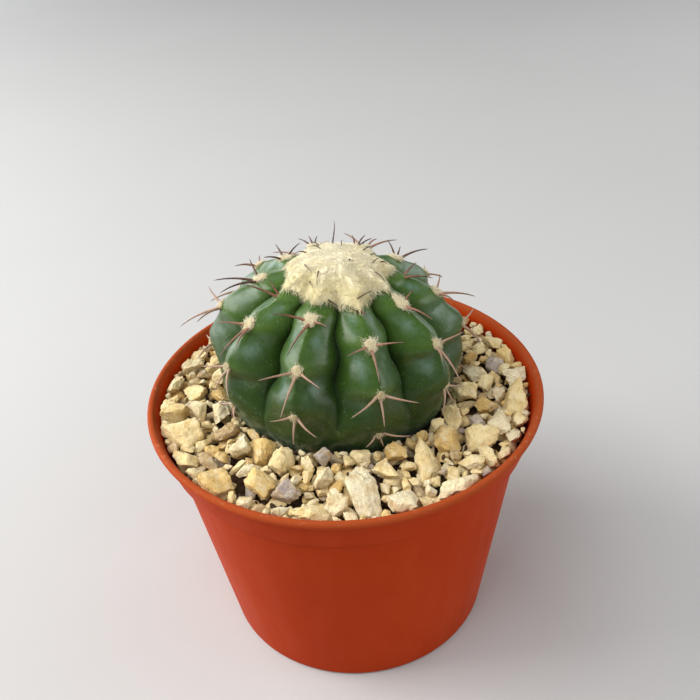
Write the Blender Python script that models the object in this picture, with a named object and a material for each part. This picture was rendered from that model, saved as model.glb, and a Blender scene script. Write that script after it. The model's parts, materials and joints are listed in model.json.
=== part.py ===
"""A woolly-crowned globe cactus in a plastic nursery pot, dressed with stone chippings.

Metres, +Z up. The origin is the middle of the pot's underside, and -Y is the front.
The plant's own points are worked out in a frame at the middle of its stem, which leans a little.
"""
import math
import random

import bmesh
import bpy
import numpy as np
from mathutils import Matrix, Vector

# The pot, whose rim sets the size of everything else
RIM_RADIUS = 0.0525
POT_HEIGHT = 0.0733
BASE_RADIUS = 0.0378
WALL = 0.0011
LIP_WIDTH = 0.0018
LIP_HEIGHT = 0.0019
BAND_HEIGHT = 0.0109
BAND_TOP_RADIUS = 0.0516
BAND_FOOT_RADIUS = 0.0491
BODY_TOP_RADIUS = 0.0472
FLOOR_THICKNESS = 0.0024
RECESS_DEPTH = 0.0010
RECESS_INNER_RADIUS = 0.0140
RECESS_OUTER_RADIUS = 0.0310
DRAIN_HOLES = 8
DRAIN_HOLE_RADIUS = 0.0034
POT_SIDES = 40

# The stem: half an ellipsoid above its middle and half below, cut into ribs
STEM_MIDDLE = Vector((-0.0010, 0.0055, POT_HEIGHT + 0.0113))
STEM_LEAN = math.radians(3)
STEM_RADIUS = 0.0335
STEM_RISE = 0.0216
STEM_DROP = 0.0320
RIB_AZIMUTHS = (-20, 16, 52, 88, 124, 160, 196, 232, 265, 303)
GROOVE_DEPTH = 0.26
GROOVE_DEPTH_AT_BASE = 0.03
GROOVE_WAVE = 1.6
CHIN_HEIGHT = 0.0005
FURROW_DEPTH = 0.0009
NECK_RADIUS = 0.0070
NECK_LENGTH = 0.0150
RIB_COLUMNS = 8
STEM_LATITUDES = (77, 66, 57, 48, 40, 33, 26, 18, 11, 4, -3, -10, -17, -25, -36, -48, -60)

# Areoles stand on the crests, in two patterns that take turns round the stem
AREOLE_LATITUDES = ((54, 26, -3.5, -28), (60, 40, 11, -15))
LOWEST_BARE_LATITUDE = -20
PAD_RADIUS = 0.0017
PAD_HEIGHT = 0.0009
SPINE_RADIUS = 0.00045
SPINE_ROOT = 0.0012
SPINE_SPREAD = 0.0003
SPINE_SIDES = 3

# Each areole has a spine to either side and one down the rib, shorter and more level lower down
SPINE_LIFT = 22
SPINE_JITTER = 7
SIDE_SPINE_ANGLES = ((-15, 0), (90, 71))
SIDE_SPINE_LENGTHS = ((-15, 0, 12), (0.0060, 0.0074, 0.0093))
LOWER_SPINE_LENGTHS = ((-15, 0, 12, 24), (0.0040, 0.0070, 0.0090, 0.0124))

# The fans that show plainly, by rib and row: each spine's angle off the way down the rib, and its length
SEEN_FANS = {
    (0, 0): ((-75, 0.0096), (64, 0.0070), (-2, 0.0150)),
    (0, 1): ((-65, 0.0094), (69, 0.0088), (-2, 0.0126)),
    (0, 2): ((-86, 0.0058), (74, 0.0078), (5, 0.0070)),
    (1, 1): ((-71, 0.0085), (76, 0.0081), (-10, 0.0120)),
    (1, 2): ((-75, 0.0102), (74, 0.0094), (-6, 0.0077)),
    (1, 3): ((-70, 0.0046), (100, 0.0080), (18, 0.0040)),
    (2, 0): ((98, 0.0052), (-12, 0.0105)),
    (2, 1): ((80, 0.0082), (-24, 0.0115), (-50, 0.0062)),
    (3, 1): ((95, 0.0060), (10, 0.0110), (-70, 0.0075)),
    (4, 0): ((86, 0.0070), (46, 0.0058), (-4, 0.0106)),
    (5, 0): ((-14, 0.0062), (60, 0.0070), (-75, 0.0066)),
    (6, 0): ((-18, 0.0070), (70, 0.0070), (-72, 0.0065)),
    (7, 0): ((-34, 0.0070), (-130, 0.0058), (84, 0.0070)),
    (8, 0): ((-74, 0.0080), (60, 0.0140), (2, 0.0118)),
    (9, 1): ((-51, 0.0085), (24, 0.0125), (42, 0.0090)),
    (9, 2): ((-65, 0.0079), (72, 0.0110), (8, 0.0072)),
}
# Spines of the topmost areoles that the wool covers, by rib
COVERED_FANS = {
    1: ((14, 0.0040),),
    3: ((56, 0.0062), (-20, 0.0080)),
    9: ((-56, 0.0102), (-100, 0.0054)),
}

# The wool cap on the crown
CAP_GROOVE_RADIUS = 0.0124
CAP_LOBES = (0.0014, 0.0036, 0.0014, 0.0036, 0.0014, 0, 0.0014, 0, 0.0014, 0.0036)
CAP_FORWARD = 0.0019
CAP_RISE = 0.0014
CAP_EDGE_THICKNESS = 0.0020
CAP_RINGS = (0.22, 0.44, 0.64, 0.82, 0.95)
CAP_COLUMNS = 4
CAP_DEPTH = 0.0016
MARGIN_TUFTS = 46
CROWN_TUFTS = 44
BRISTLES = 12

# Compost and gravel
COMPOST_DROP = 0.0125
GRAVEL_DROP_AT_WALL = 0.0026
GRAVEL_DROP_AT_STEM = 0.0014
GRAVEL_SLOPE = 0.0120
STONE_COUNT = 126
STONE_CORNERS = 9
STONE_SIZES = (0.0024, 0.0040)
STONE_SPACING = 0.7
BED_BELOW_STONES = 0.0023

GAP = 0.00035
SEED = 11

# The stones that catch the eye: place from the pot's axis, then half-lengths, and a turn in degrees
LANDMARK_STONES = (
    (0.0038, -0.0425, 0.0048, 0.0066, 0.0038, 8),
    (0.0214, -0.0340, 0.0042, 0.0068, 0.0036, 20),
    (-0.0156, -0.0380, 0.0033, 0.0028, 0.0024, 0),
    (-0.0242, -0.0420, 0.0050, 0.0038, 0.0030, -25),
    (0.0130, -0.0452, 0.0036, 0.0032, 0.0028, 0),
    (0.0162, -0.0392, 0.0042, 0.0030, 0.0028, 10),
    (-0.0214, -0.0352, 0.0036, 0.0042, 0.0026, 30),
    (-0.0202, -0.0262, 0.0042, 0.0044, 0.0030, 15),
    (0.0440, -0.0090, 0.0040, 0.0062, 0.0034, -35),
    (0.0325, -0.0240, 0.0042, 0.0040, 0.0030, 0),
    (0.0385, -0.0275, 0.0034, 0.0044, 0.0026, 40),
    (-0.0440, -0.0130, 0.0058, 0.0042, 0.0034, -15),
)


def clear_scene():
    for thing in list(bpy.data.objects):
        bpy.data.objects.remove(thing, do_unlink=True)


def new_material(name, colour, roughness):
    made = bpy.data.materials.new(name)
    made.use_nodes = True
    shader = made.node_tree.nodes["Principled BSDF"]
    shader.inputs["Base Color"].default_value = (*colour, 1)
    shader.inputs["Roughness"].default_value = roughness
    shader.inputs["Metallic"].default_value = 0
    made.diffuse_color = (*colour, 1)
    return made


def new_object(name, shape, *materials):
    """An object with this bmesh as its shape, in the scene's own collection."""
    mesh = bpy.data.meshes.new(name)
    shape.to_mesh(mesh)
    shape.free()
    for entry in materials:
        mesh.materials.append(entry)
    made = bpy.data.objects.new(name, mesh)
    bpy.context.scene.collection.objects.link(made)
    return made


def shade_round(thing, angle):
    thing.data.shade_smooth()
    thing.data.set_sharp_from_angle(angle=math.radians(angle))


def turned(profile):
    """A body turned round the pot's axis from an outline that starts and ends on that axis."""
    shape = bmesh.new()
    corners = [shape.verts.new((radius, 0, height)) for radius, height in profile]
    edges = [shape.edges.new(pair) for pair in zip(corners, corners[1:])]
    bmesh.ops.spin(
        shape, geom=corners + edges, cent=(0, 0, 0), axis=(0, 0, 1),
        angle=math.tau, steps=POT_SIDES, use_merge=True,
    )
    bmesh.ops.remove_doubles(shape, verts=shape.verts, dist=1e-6)
    bmesh.ops.recalc_face_normals(shape, faces=shape.faces)
    return shape


def boolean(target, operation, pieces):
    """Joins pieces to the target or cuts them from it in one step, then removes them."""
    group = bpy.data.collections.new(target.name + "_pieces")
    bpy.context.scene.collection.children.link(group)
    for piece in pieces:
        bpy.context.scene.collection.objects.unlink(piece)
        group.objects.link(piece)
    step = target.modifiers.new(operation.title(), "BOOLEAN")
    step.operation = operation
    step.operand_type = "COLLECTION"
    step.collection = group
    step.solver = "EXACT"
    step.material_mode = "TRANSFER"
    bpy.context.view_layer.update()
    joined = bpy.data.meshes.new_from_object(
        target.evaluated_get(bpy.context.evaluated_depsgraph_get())
    )
    target.modifiers.clear()
    target.data = joined
    for piece in list(group.objects):
        bpy.data.objects.remove(piece, do_unlink=True)
    bpy.data.collections.remove(group)


def drop_scraps(thing):
    """Keeps only the largest connected body of a joined mesh."""
    shape = bmesh.new()
    shape.from_mesh(thing.data)
    unseen = set(shape.verts)
    bodies = []
    while unseen:
        front = [unseen.pop()]
        body = set(front)
        while front:
            for edge in front.pop().link_edges:
                for corner in edge.verts:
                    if corner in unseen:
                        unseen.discard(corner)
                        body.add(corner)
                        front.append(corner)
        bodies.append(body)
    bodies.sort(key=len)
    scraps = [corner for body in bodies[:-1] for corner in body]
    bmesh.ops.delete(shape, geom=scraps, context="VERTS")
    shape.to_mesh(thing.data)
    shape.free()


def ease(start, end, value):
    """0 before start, 1 after end, and a smooth step between."""
    share = min(max((value - start) / (end - start), 0), 1)
    return share * share * (3 - 2 * share)


def pot_body_radius(height):
    """Outer radius of the tapering body at a height over the pot's underside."""
    return BASE_RADIUS + (BODY_TOP_RADIUS - BASE_RADIUS) * height / (POT_HEIGHT - BAND_HEIGHT)


def pot_band_radius(drop):
    """Outer radius of the band under the lip, this far below the rim."""
    return BAND_TOP_RADIUS + (BAND_FOOT_RADIUS - BAND_TOP_RADIUS) * drop / BAND_HEIGHT


def inner_radius(height):
    """Radius of the pot's inside at a height."""
    drop = POT_HEIGHT - height
    if drop < BAND_HEIGHT:
        return pot_band_radius(drop) - WALL
    return pot_body_radius(height) - WALL


def make_pot(plastic):
    """The pot with its lip, its band, its recessed base and the drain holes."""
    rim = POT_HEIGHT
    step = rim - BAND_HEIGHT
    shoulder = 0.0009
    outline = [
        (0, FLOOR_THICKNESS),
        (inner_radius(FLOOR_THICKNESS) - 0.0014, FLOOR_THICKNESS),
        (inner_radius(0.0038), 0.0038),
        (inner_radius(step - shoulder), step - shoulder),
        (pot_band_radius(BAND_HEIGHT) - WALL, step + shoulder),
        (pot_band_radius(LIP_HEIGHT) - WALL, rim - LIP_HEIGHT),
        (RIM_RADIUS - LIP_WIDTH, rim - 0.0006),
        (RIM_RADIUS - LIP_WIDTH + 0.0005, rim),
        (RIM_RADIUS - 0.0006, rim),
        (RIM_RADIUS, rim - 0.0006),
        (RIM_RADIUS, rim - LIP_HEIGHT + 0.0005),
        (RIM_RADIUS - 0.0004, rim - LIP_HEIGHT),
        (pot_band_radius(LIP_HEIGHT), rim - LIP_HEIGHT - 0.0004),
        (BAND_FOOT_RADIUS, step + 0.0004),
        (BAND_FOOT_RADIUS - 0.0005, step),
        (BODY_TOP_RADIUS, step - 0.0003),
        (pot_body_radius(0.0016), 0.0016),
        (pot_body_radius(0) - 0.0004, 0.0004),
        (BASE_RADIUS - 0.0013, 0),
        (RECESS_OUTER_RADIUS, 0),
        (RECESS_OUTER_RADIUS - 0.0008, RECESS_DEPTH),
        (RECESS_INNER_RADIUS + 0.0008, RECESS_DEPTH),
        (RECESS_INNER_RADIUS, 0),
        (0, 0),
    ]
    pot = new_object("pot", turned(outline), plastic)
    holes = []
    ring = (RECESS_INNER_RADIUS + RECESS_OUTER_RADIUS) / 2
    for number in range(DRAIN_HOLES):
        turn = math.tau * (number + 0.5) / DRAIN_HOLES
        shape = bmesh.new()
        bmesh.ops.create_cone(
            shape, segments=8, cap_ends=True, depth=0.012,
            radius1=DRAIN_HOLE_RADIUS, radius2=DRAIN_HOLE_RADIUS,
        )
        hole = new_object(f"drain_hole_{number}", shape, plastic)
        hole.location = (ring * math.cos(turn), ring * math.sin(turn), 0)
        holes.append(hole)
    boolean(pot, "DIFFERENCE", holes)
    shade_round(pot, 35)
    return pot


def areole_phase(rib, latitude):
    """How many areoles of this rib lie above the latitude, with the fraction to the next one."""
    rows = AREOLE_LATITUDES[rib % 2]
    above = [rows[0] + 26, *rows, rows[-1] - 26]
    counts = np.arange(-1, len(rows) + 1)
    return float(np.interp(-latitude, [-row for row in above], counts))


def stem_point(rib, across, latitude):
    """A point of the skin, in the stem's frame.

    across runs from 0 on this rib's crest to 1 on the next one's, with the groove at one half.
    """
    after = (rib + 1) % len(RIB_AZIMUTHS)
    left = RIB_AZIMUTHS[rib]
    right = left + (RIB_AZIMUTHS[after] - left) % 360
    wave = math.cos(math.tau * (areole_phase(rib, latitude) - 0.1)) * ease(-25, 5, latitude)
    groove = (left + right) / 2 + GROOVE_WAVE * wave
    if across < 0.5:
        azimuth = left + (groove - left) * 2 * across
        phase = areole_phase(rib, latitude)
    else:
        azimuth = right - (right - groove) * 2 * (1 - across)
        phase = areole_phase(after, latitude)
    away = 1 - abs(1 - 2 * across)
    ridge = 0.1
    slant = (math.hypot(away, ridge) - ridge) / (math.hypot(1, ridge) - ridge)
    flank = 0.5 * slant + 0.5 * away ** 2
    depth = GROOVE_DEPTH_AT_BASE + GROOVE_DEPTH * ease(-22, 18, latitude)
    angle = math.radians(latitude)
    radius = STEM_RADIUS * math.cos(angle) * (1 - depth * flank)
    turn = phase - math.floor(phase)
    pinch = math.exp(-(((turn + 0.2) % 1 - 0.5) / 0.2) ** 2)
    side = math.sin(math.pi * min(1.1 * away, 1))
    radius -= FURROW_DEPTH * pinch * (side * ease(-25, 0, latitude) + 0.15 * (1 - away))
    chin = math.cos(math.tau * (turn - 0.85))
    radius += CHIN_HEIGHT * chin * (1 - away) * ease(-30, -5, latitude)
    height = (STEM_RISE if latitude > 0 else STEM_DROP) * math.sin(angle)
    around = math.radians(azimuth)
    return Vector((radius * math.sin(around), -radius * math.cos(around), height))


def stem_normal(rib, across, latitude):
    """The outward normal of the smooth ellipsoid under a point of the skin."""
    point = stem_point(rib, across, latitude)
    rise = STEM_RISE if latitude > 0 else STEM_DROP
    return Vector((point.x / STEM_RADIUS ** 2, point.y / STEM_RADIUS ** 2, point.z / rise ** 2)).normalized()


def stem_frame():
    """Places points of the stem's frame in the pot's."""
    return Matrix.Translation(STEM_MIDDLE) @ Matrix.Rotation(STEM_LEAN, 4, "Y")


def stem_shape(grow=0.0, lowest=-90):
    """The closed ribbed body with its root neck, or its crown down to a latitude, grown by a gap."""
    shape = bmesh.new()
    columns = [(rib, step / RIB_COLUMNS) for rib in range(len(RIB_AZIMUTHS)) for step in range(RIB_COLUMNS)]
    rings = []
    for latitude in STEM_LATITUDES:
        if latitude >= lowest:
            rings.append([shape.verts.new(stem_point(*column, latitude)) for column in columns])
    if lowest == -90:
        last = stem_point(0, 0, STEM_LATITUDES[-1]).z
        for radius, drop in ((NECK_RADIUS, 0.0030), (0.7 * NECK_RADIUS, NECK_LENGTH)):
            ring = []
            for corner in rings[-1]:
                spot = corner.co.xy.normalized() * radius
                ring.append(shape.verts.new((spot.x, spot.y, last - drop)))
            rings.append(ring)
    pole = shape.verts.new((0, 0, STEM_RISE))
    foot = shape.verts.new((0, 0, rings[-1][0].co.z))
    for index in range(len(columns)):
        after = (index + 1) % len(columns)
        shape.faces.new((pole, rings[0][index], rings[0][after]))
        shape.faces.new((foot, rings[-1][after], rings[-1][index]))
        for upper, lower in zip(rings, rings[1:]):
            shape.faces.new((upper[index], lower[index], lower[after], upper[after]))
    bmesh.ops.recalc_face_normals(shape, faces=shape.faces)
    shape.normal_update()
    moves = [corner.normal * grow for corner in shape.verts]
    for corner, move in zip(shape.verts, moves):
        corner.co += move
    bmesh.ops.transform(shape, matrix=stem_frame(), verts=shape.verts)
    return shape


def areole_axes(rib, latitude):
    """The areole's place, its outward direction, and the ways down the rib and across it."""
    place = stem_point(rib, 0, latitude)
    outward = stem_normal(rib, 0, latitude)
    azimuth = math.radians(RIB_AZIMUTHS[rib])
    across = Vector((math.cos(azimuth), math.sin(azimuth), 0))
    down = across.cross(outward).normalized()
    if down.z > 0:
        down.negate()
    turn = stem_frame()
    spin = turn.to_3x3()
    return turn @ place, spin @ outward, spin @ down, spin @ across


def spine_points(rib, latitude, angle, length, steps=2):
    """The middle line of a spine, from inside its areole to its tip, curved down towards the skin."""
    place, outward, down, across = areole_axes(rib, latitude)
    turn = math.radians(angle)
    along = down * math.cos(turn) + across * math.sin(turn)
    rise = math.radians(SPINE_LIFT)
    start = place - outward * SPINE_ROOT + along * SPINE_SPREAD
    middle = place + (along * math.cos(rise) * 0.45 + outward * math.sin(rise) * 0.75) * length
    tip = place + (along * math.cos(rise) + outward * math.sin(rise)) * length
    points = []
    for step in range(steps + 1):
        share = step / steps
        points.append(start * (1 - share) ** 2 + middle * 2 * share * (1 - share) + tip * share ** 2)
    return points


def spike(points, radius, sides=SPINE_SIDES):
    """A closed tapering spike along points, whose last point is its tip."""
    shape = bmesh.new()
    rings = []
    sideways = (points[1] - points[0]).orthogonal()
    for index, point in enumerate(points[:-1]):
        ahead = (points[index + 1] - points[max(index - 1, 0)]).normalized()
        sideways = (sideways - ahead * sideways.dot(ahead)).normalized()
        other = ahead.cross(sideways)
        width = radius * (1 - 0.8 * index / (len(points) - 1))
        ring = []
        for side in range(sides):
            turn = math.tau * side / sides
            ring.append(shape.verts.new(point + (sideways * math.cos(turn) + other * math.sin(turn)) * width))
        rings.append(ring)
    tip = shape.verts.new(points[-1])
    shape.faces.new(rings[0])
    for side in range(sides):
        after = (side + 1) % sides
        for lower, upper in zip(rings, rings[1:]):
            shape.faces.new((lower[side], lower[after], upper[after], upper[side]))
        shape.faces.new((rings[-1][side], rings[-1][after], tip))
    bmesh.ops.recalc_face_normals(shape, faces=shape.faces)
    return shape


def pad_shape(rib, latitude, radius=PAD_RADIUS, height=PAD_HEIGHT):
    """An areole's pad: a low six-sided dome, longer down the rib, sunk into the crest."""
    place, outward, down, across = areole_axes(rib, latitude)
    shape = bmesh.new()
    rings = []
    for share, level in ((1.0, -0.0016), (1.0, 0.35 * height), (0.55, height)):
        ring = []
        for side in range(6):
            turn = math.tau * (side + 0.3) / 6
            spot = down * math.cos(turn) * 1.25 + across * math.sin(turn)
            ring.append(shape.verts.new(place + spot * radius * share + outward * level))
        rings.append(ring)
    shape.faces.new(rings[0])
    shape.faces.new(rings[-1])
    for side in range(6):
        after = (side + 1) % 6
        for lower, upper in zip(rings, rings[1:]):
            shape.faces.new((lower[side], lower[after], upper[after], upper[side]))
    bmesh.ops.recalc_face_normals(shape, faces=shape.faces)
    return shape


def stem_areoles():
    """Rib and latitude of each areole that stands clear of the wool cap and of the gravel."""
    for rib in range(len(RIB_AZIMUTHS)):
        for row, latitude in enumerate(AREOLE_LATITUDES[rib % 2]):
            covered = rib in COVERED_FANS and row == 0
            if latitude > LOWEST_BARE_LATITUDE and not covered:
                yield rib, row, latitude


def spine_fans():
    """Every spine of the stem as its list of points, each fan a little different."""
    draw = random.Random(SEED)
    for rib, row, latitude in stem_areoles():
        sideways = np.interp(latitude, *SIDE_SPINE_ANGLES)
        side_length = np.interp(latitude, *SIDE_SPINE_LENGTHS)
        lower_length = np.interp(latitude, *LOWER_SPINE_LENGTHS)
        fan = []
        for angle, length in ((-sideways, side_length), (sideways, side_length), (0, lower_length)):
            angle += draw.uniform(-SPINE_JITTER, SPINE_JITTER)
            fan.append((angle, length * draw.uniform(0.88, 1.1)))
        for angle, length in SEEN_FANS.get((rib, row), fan):
            yield spine_points(rib, latitude, angle, length)


def make_stem(skin, spine_colour, wool):
    """The ribbed stem with its areole pads and spines, all one body."""
    stem = new_object("cactus_stem", stem_shape(), skin)
    pieces = []
    for rib, row, latitude in stem_areoles():
        pieces.append(new_object(f"pad_{rib}_{row}", pad_shape(rib, latitude), wool))
    for number, points in enumerate(spine_fans()):
        pieces.append(new_object(f"spine_{number}", spike(points, SPINE_RADIUS), spine_colour))
    boolean(stem, "UNION", pieces)
    drop_scraps(stem)
    shade_round(stem, 40)
    return stem


def cap_reach(rib, across):
    """How far the wool's margin lies from the stem's axis: further out on the ribs and to the front."""
    after = (rib + 1) % len(RIB_AZIMUTHS)
    azimuth = RIB_AZIMUTHS[rib] + (RIB_AZIMUTHS[after] - RIB_AZIMUTHS[rib]) % 360 * across
    lobe = CAP_LOBES[rib if across < 0.5 else after] * abs(1 - 2 * across) ** 1.3
    return CAP_GROOVE_RADIUS + lobe + CAP_FORWARD * math.cos(math.radians(azimuth))


def crown_latitude(rib, across, radius):
    """The latitude at which the skin is this far from the stem's axis, found by halving."""
    low, high = 20, 90
    for _ in range(20):
        middle = (low + high) / 2
        if stem_point(rib, across, middle).xy.length > radius:
            low = middle
        else:
            high = middle
    return low


def cap_point(rib, across, share, thickness=1.0):
    """A point of the wool's top, at a share of the way from the crown's middle to the margin."""
    radius = cap_reach(rib, across) * share
    skin = stem_point(rib, across, crown_latitude(rib, across, radius))
    bare = skin.z + GAP + 0.0001
    smooth = STEM_RISE * math.sqrt(1 - (radius / STEM_RADIUS) ** 2)
    wool = CAP_EDGE_THICKNESS * math.sqrt(max(1 - share ** 6, 0)) + CAP_RISE * (1 - share ** 2)
    full = smooth + (bare - smooth) * share ** 5 + wool
    return Vector((skin.x, skin.y, bare + (full - bare) * thickness))


def cap_shape():
    """The wool's closed body: a lobed dome over the crown's own surface."""
    shape = bmesh.new()
    columns = [(rib, step / CAP_COLUMNS) for rib in range(len(RIB_AZIMUTHS)) for step in range(CAP_COLUMNS)]
    draw = random.Random(SEED + 1)
    top = []
    for share in CAP_RINGS:
        top.append([shape.verts.new(cap_point(*column, share, draw.uniform(0.9, 1.1))) for column in columns])
    margin = [shape.verts.new(cap_point(*column, 1)) for column in columns]
    deep = Vector((0, 0, CAP_DEPTH))
    under = [shape.verts.new(cap_point(*column, 0.9, 0) - deep) for column in columns]
    crown = shape.verts.new(Vector((0, 0, STEM_RISE + CAP_EDGE_THICKNESS + CAP_RISE)))
    hollow = shape.verts.new(cap_point(0, 0, 0.5, 0) - 2 * deep)
    hollow.co.xy = (0, 0)
    rings = [*top, margin, under]
    for index in range(len(columns)):
        after = (index + 1) % len(columns)
        shape.faces.new((crown, rings[0][index], rings[0][after]))
        shape.faces.new((hollow, rings[-1][after], rings[-1][index]))
        for upper, lower in zip(rings, rings[1:]):
            shape.faces.new((upper[index], lower[index], lower[after], upper[after]))
    bmesh.ops.recalc_face_normals(shape, faces=shape.faces)
    bmesh.ops.transform(shape, matrix=stem_frame(), verts=shape.verts)
    return shape


def cap_spike(rib, across, share, length, lift, radius, sink=0.0010):
    """A straight spike that leaves the wool outwards, lifted by an angle off the horizontal."""
    frame = stem_frame()
    place = frame @ cap_point(rib, across, share)
    middle = frame @ Vector((0, 0, place.z - frame.translation.z))
    outward = Vector((place.x - middle.x, place.y - middle.y, 0)).normalized()
    way = outward * math.cos(math.radians(lift)) + Vector((0, 0, math.sin(math.radians(lift))))
    return spike([place - way * sink, place + way * length], radius)


def make_wool_cap(wool, spine_colour):
    """The wool on the crown with its tufts, and the bristles that stand out of it."""
    cap = new_object("wool_cap", cap_shape(), wool)
    draw = random.Random(SEED + 2)
    ribs = len(RIB_AZIMUTHS)
    pieces = []

    def add(kind, number, colour, share, length, lift, radius, turn):
        rib = int(turn * ribs) % ribs
        across = turn * ribs % 1
        shape = cap_spike(rib, across, share, length, lift, radius)
        pieces.append(new_object(f"{kind}_{number}", shape, colour))

    for number in range(MARGIN_TUFTS):
        turn = (number + draw.uniform(-0.3, 0.3)) / MARGIN_TUFTS
        add("margin_tuft", number, wool, draw.uniform(0.88, 0.94), draw.uniform(0.0014, 0.0024),
            draw.uniform(0, 10), 0.0007, turn)
    for number in range(CROWN_TUFTS):
        turn = number * 0.618
        share = 0.82 * math.sqrt((number + 1.5) / (CROWN_TUFTS + 1))
        add("crown_tuft", number, wool, share, draw.uniform(0.0010, 0.0016),
            45 - 25 * share + draw.uniform(-8, 8), 0.0008, turn)
    for number in range(BRISTLES):
        turn = number * 0.618 + 0.11
        share = draw.uniform(0.35, 0.9)
        add("bristle", number, spine_colour, share, draw.uniform(0.0030, 0.0052),
            86 - 60 * share + draw.uniform(-12, 12), 0.00028, turn)
    for rib, fan in COVERED_FANS.items():
        for number, (angle, length) in enumerate(fan):
            points = spine_points(rib, AREOLE_LATITUDES[rib % 2][0], angle, length)
            pieces.append(new_object(f"covered_spine_{rib}_{number}", spike(points, SPINE_RADIUS), spine_colour))
    boolean(cap, "UNION", pieces)
    crown = new_object("crown_space", stem_shape(grow=GAP + 0.0001, lowest=26), wool)
    boolean(cap, "DIFFERENCE", [crown])
    drop_scraps(cap)
    shade_round(cap, 50)
    return cap


def gravel_level(x, y):
    """Height of the stones' tops: heaped a little from the wall towards the plant."""
    from_wall = inner_radius(POT_HEIGHT - GRAVEL_DROP_AT_WALL) - math.hypot(x, y)
    drop = GRAVEL_DROP_AT_WALL
    drop -= (GRAVEL_DROP_AT_WALL - GRAVEL_DROP_AT_STEM) * ease(0, GRAVEL_SLOPE, from_wall)
    return POT_HEIGHT - drop


def stem_space():
    """A plain round body a gap wider than the buried stem, which leaves its hole."""
    frame = stem_frame()
    shape = bmesh.new()
    sides = 40
    clear = GAP + CHIN_HEIGHT
    spread = 1 / math.cos(math.pi / sides)
    neck_top = STEM_DROP * math.sin(math.radians(STEM_LATITUDES[-1]))
    levels = [(STEM_RADIUS * math.cos(math.radians(turn)), STEM_DROP * math.sin(math.radians(turn)))
              for turn in (0, *STEM_LATITUDES[-6:])]
    levels.append((NECK_RADIUS, neck_top - 0.0030 - GAP))
    levels.append((0.7 * NECK_RADIUS, neck_top - NECK_LENGTH - GAP))
    rings = []
    for radius, height in levels:
        ring = []
        for side in range(sides):
            turn = math.tau * side / sides
            spot = Vector((math.sin(turn), -math.cos(turn), 0)) * (radius + clear) * spread
            ring.append(shape.verts.new(spot + Vector((0, 0, height))))
        rings.append(ring)
    shape.faces.new(rings[0])
    shape.faces.new(rings[-1])
    for upper, lower in zip(rings, rings[1:]):
        for side in range(sides):
            after = (side + 1) % sides
            shape.faces.new((upper[side], lower[side], lower[after], upper[after]))
    bmesh.ops.recalc_face_normals(shape, faces=shape.faces)
    bmesh.ops.transform(shape, matrix=frame, verts=shape.verts)
    return shape


def make_compost(soil):
    """The plug of compost from the pot's floor to the gravel, with a plain hole for the stem."""
    top = POT_HEIGHT - COMPOST_DROP
    floor = FLOOR_THICKNESS + GAP
    outline = [
        (0, floor),
        (inner_radius(floor) - 0.0016 - GAP, floor),
        (inner_radius(0.0040) - GAP, 0.0042),
        (inner_radius(top - 0.0008) - GAP, top - 0.0008),
        (inner_radius(top) - 0.0012, top),
        (0, top),
    ]
    compost = new_object("compost", turned(outline), soil)
    boolean(compost, "DIFFERENCE", [new_object("root_space", stem_space(), soil)])
    drop_scraps(compost)
    return compost


def stone_shape(draw, place, halves, turn, tilt):
    """An angular chipping: the hull of a few corners spread over an ellipsoid."""
    shape = bmesh.new()
    frame = Matrix.Translation(place) @ Matrix.Rotation(turn, 4, "Z") @ Matrix.Rotation(tilt, 4, "X")
    for number in range(STONE_CORNERS):
        height = 1 - 2 * (number + 0.5) / STONE_CORNERS
        around = number * 2.4 + draw.uniform(-0.5, 0.5)
        level = math.sqrt(1 - height * height)
        reach = draw.uniform(0.86, 1.12)
        corner = Vector((
            halves[0] * level * math.cos(around), halves[1] * level * math.sin(around), halves[2] * height,
        ))
        shape.verts.new(frame @ (corner * reach))
    hull = bmesh.ops.convex_hull(shape, input=shape.verts)
    inside = [corner for corner in hull["geom_interior"] if isinstance(corner, bmesh.types.BMVert)]
    bmesh.ops.delete(shape, geom=inside, context="VERTS")
    bmesh.ops.recalc_face_normals(shape, faces=shape.faces)
    return shape


def inside_pot(place, halves):
    """The place, drawn in from the wall as far as a stone of this size needs."""
    reach = 1.12 * max(halves[:2])
    room = inner_radius(place.z - 0.7 * halves[2]) - GAP - reach
    distance = math.hypot(place.x, place.y)
    if distance > room:
        place.xy *= room / distance
    return place


def under_spines(place, halves, thorns):
    """The place, lowered as far as it takes to clear every spine."""
    wide = 1.16 * max(halves[:2]) + SPINE_RADIUS + GAP
    high = 1.2 * halves[2] + 0.2 * max(halves[:2]) + SPINE_RADIUS + GAP
    lowered = place.copy()
    for thorn in thorns:
        beside = math.hypot(thorn.x - place.x, thorn.y - place.y) / wide
        if beside < 1:
            lowered.z = min(lowered.z, thorn.z - high * math.sqrt(1 - beside * beside))
    return lowered


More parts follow.
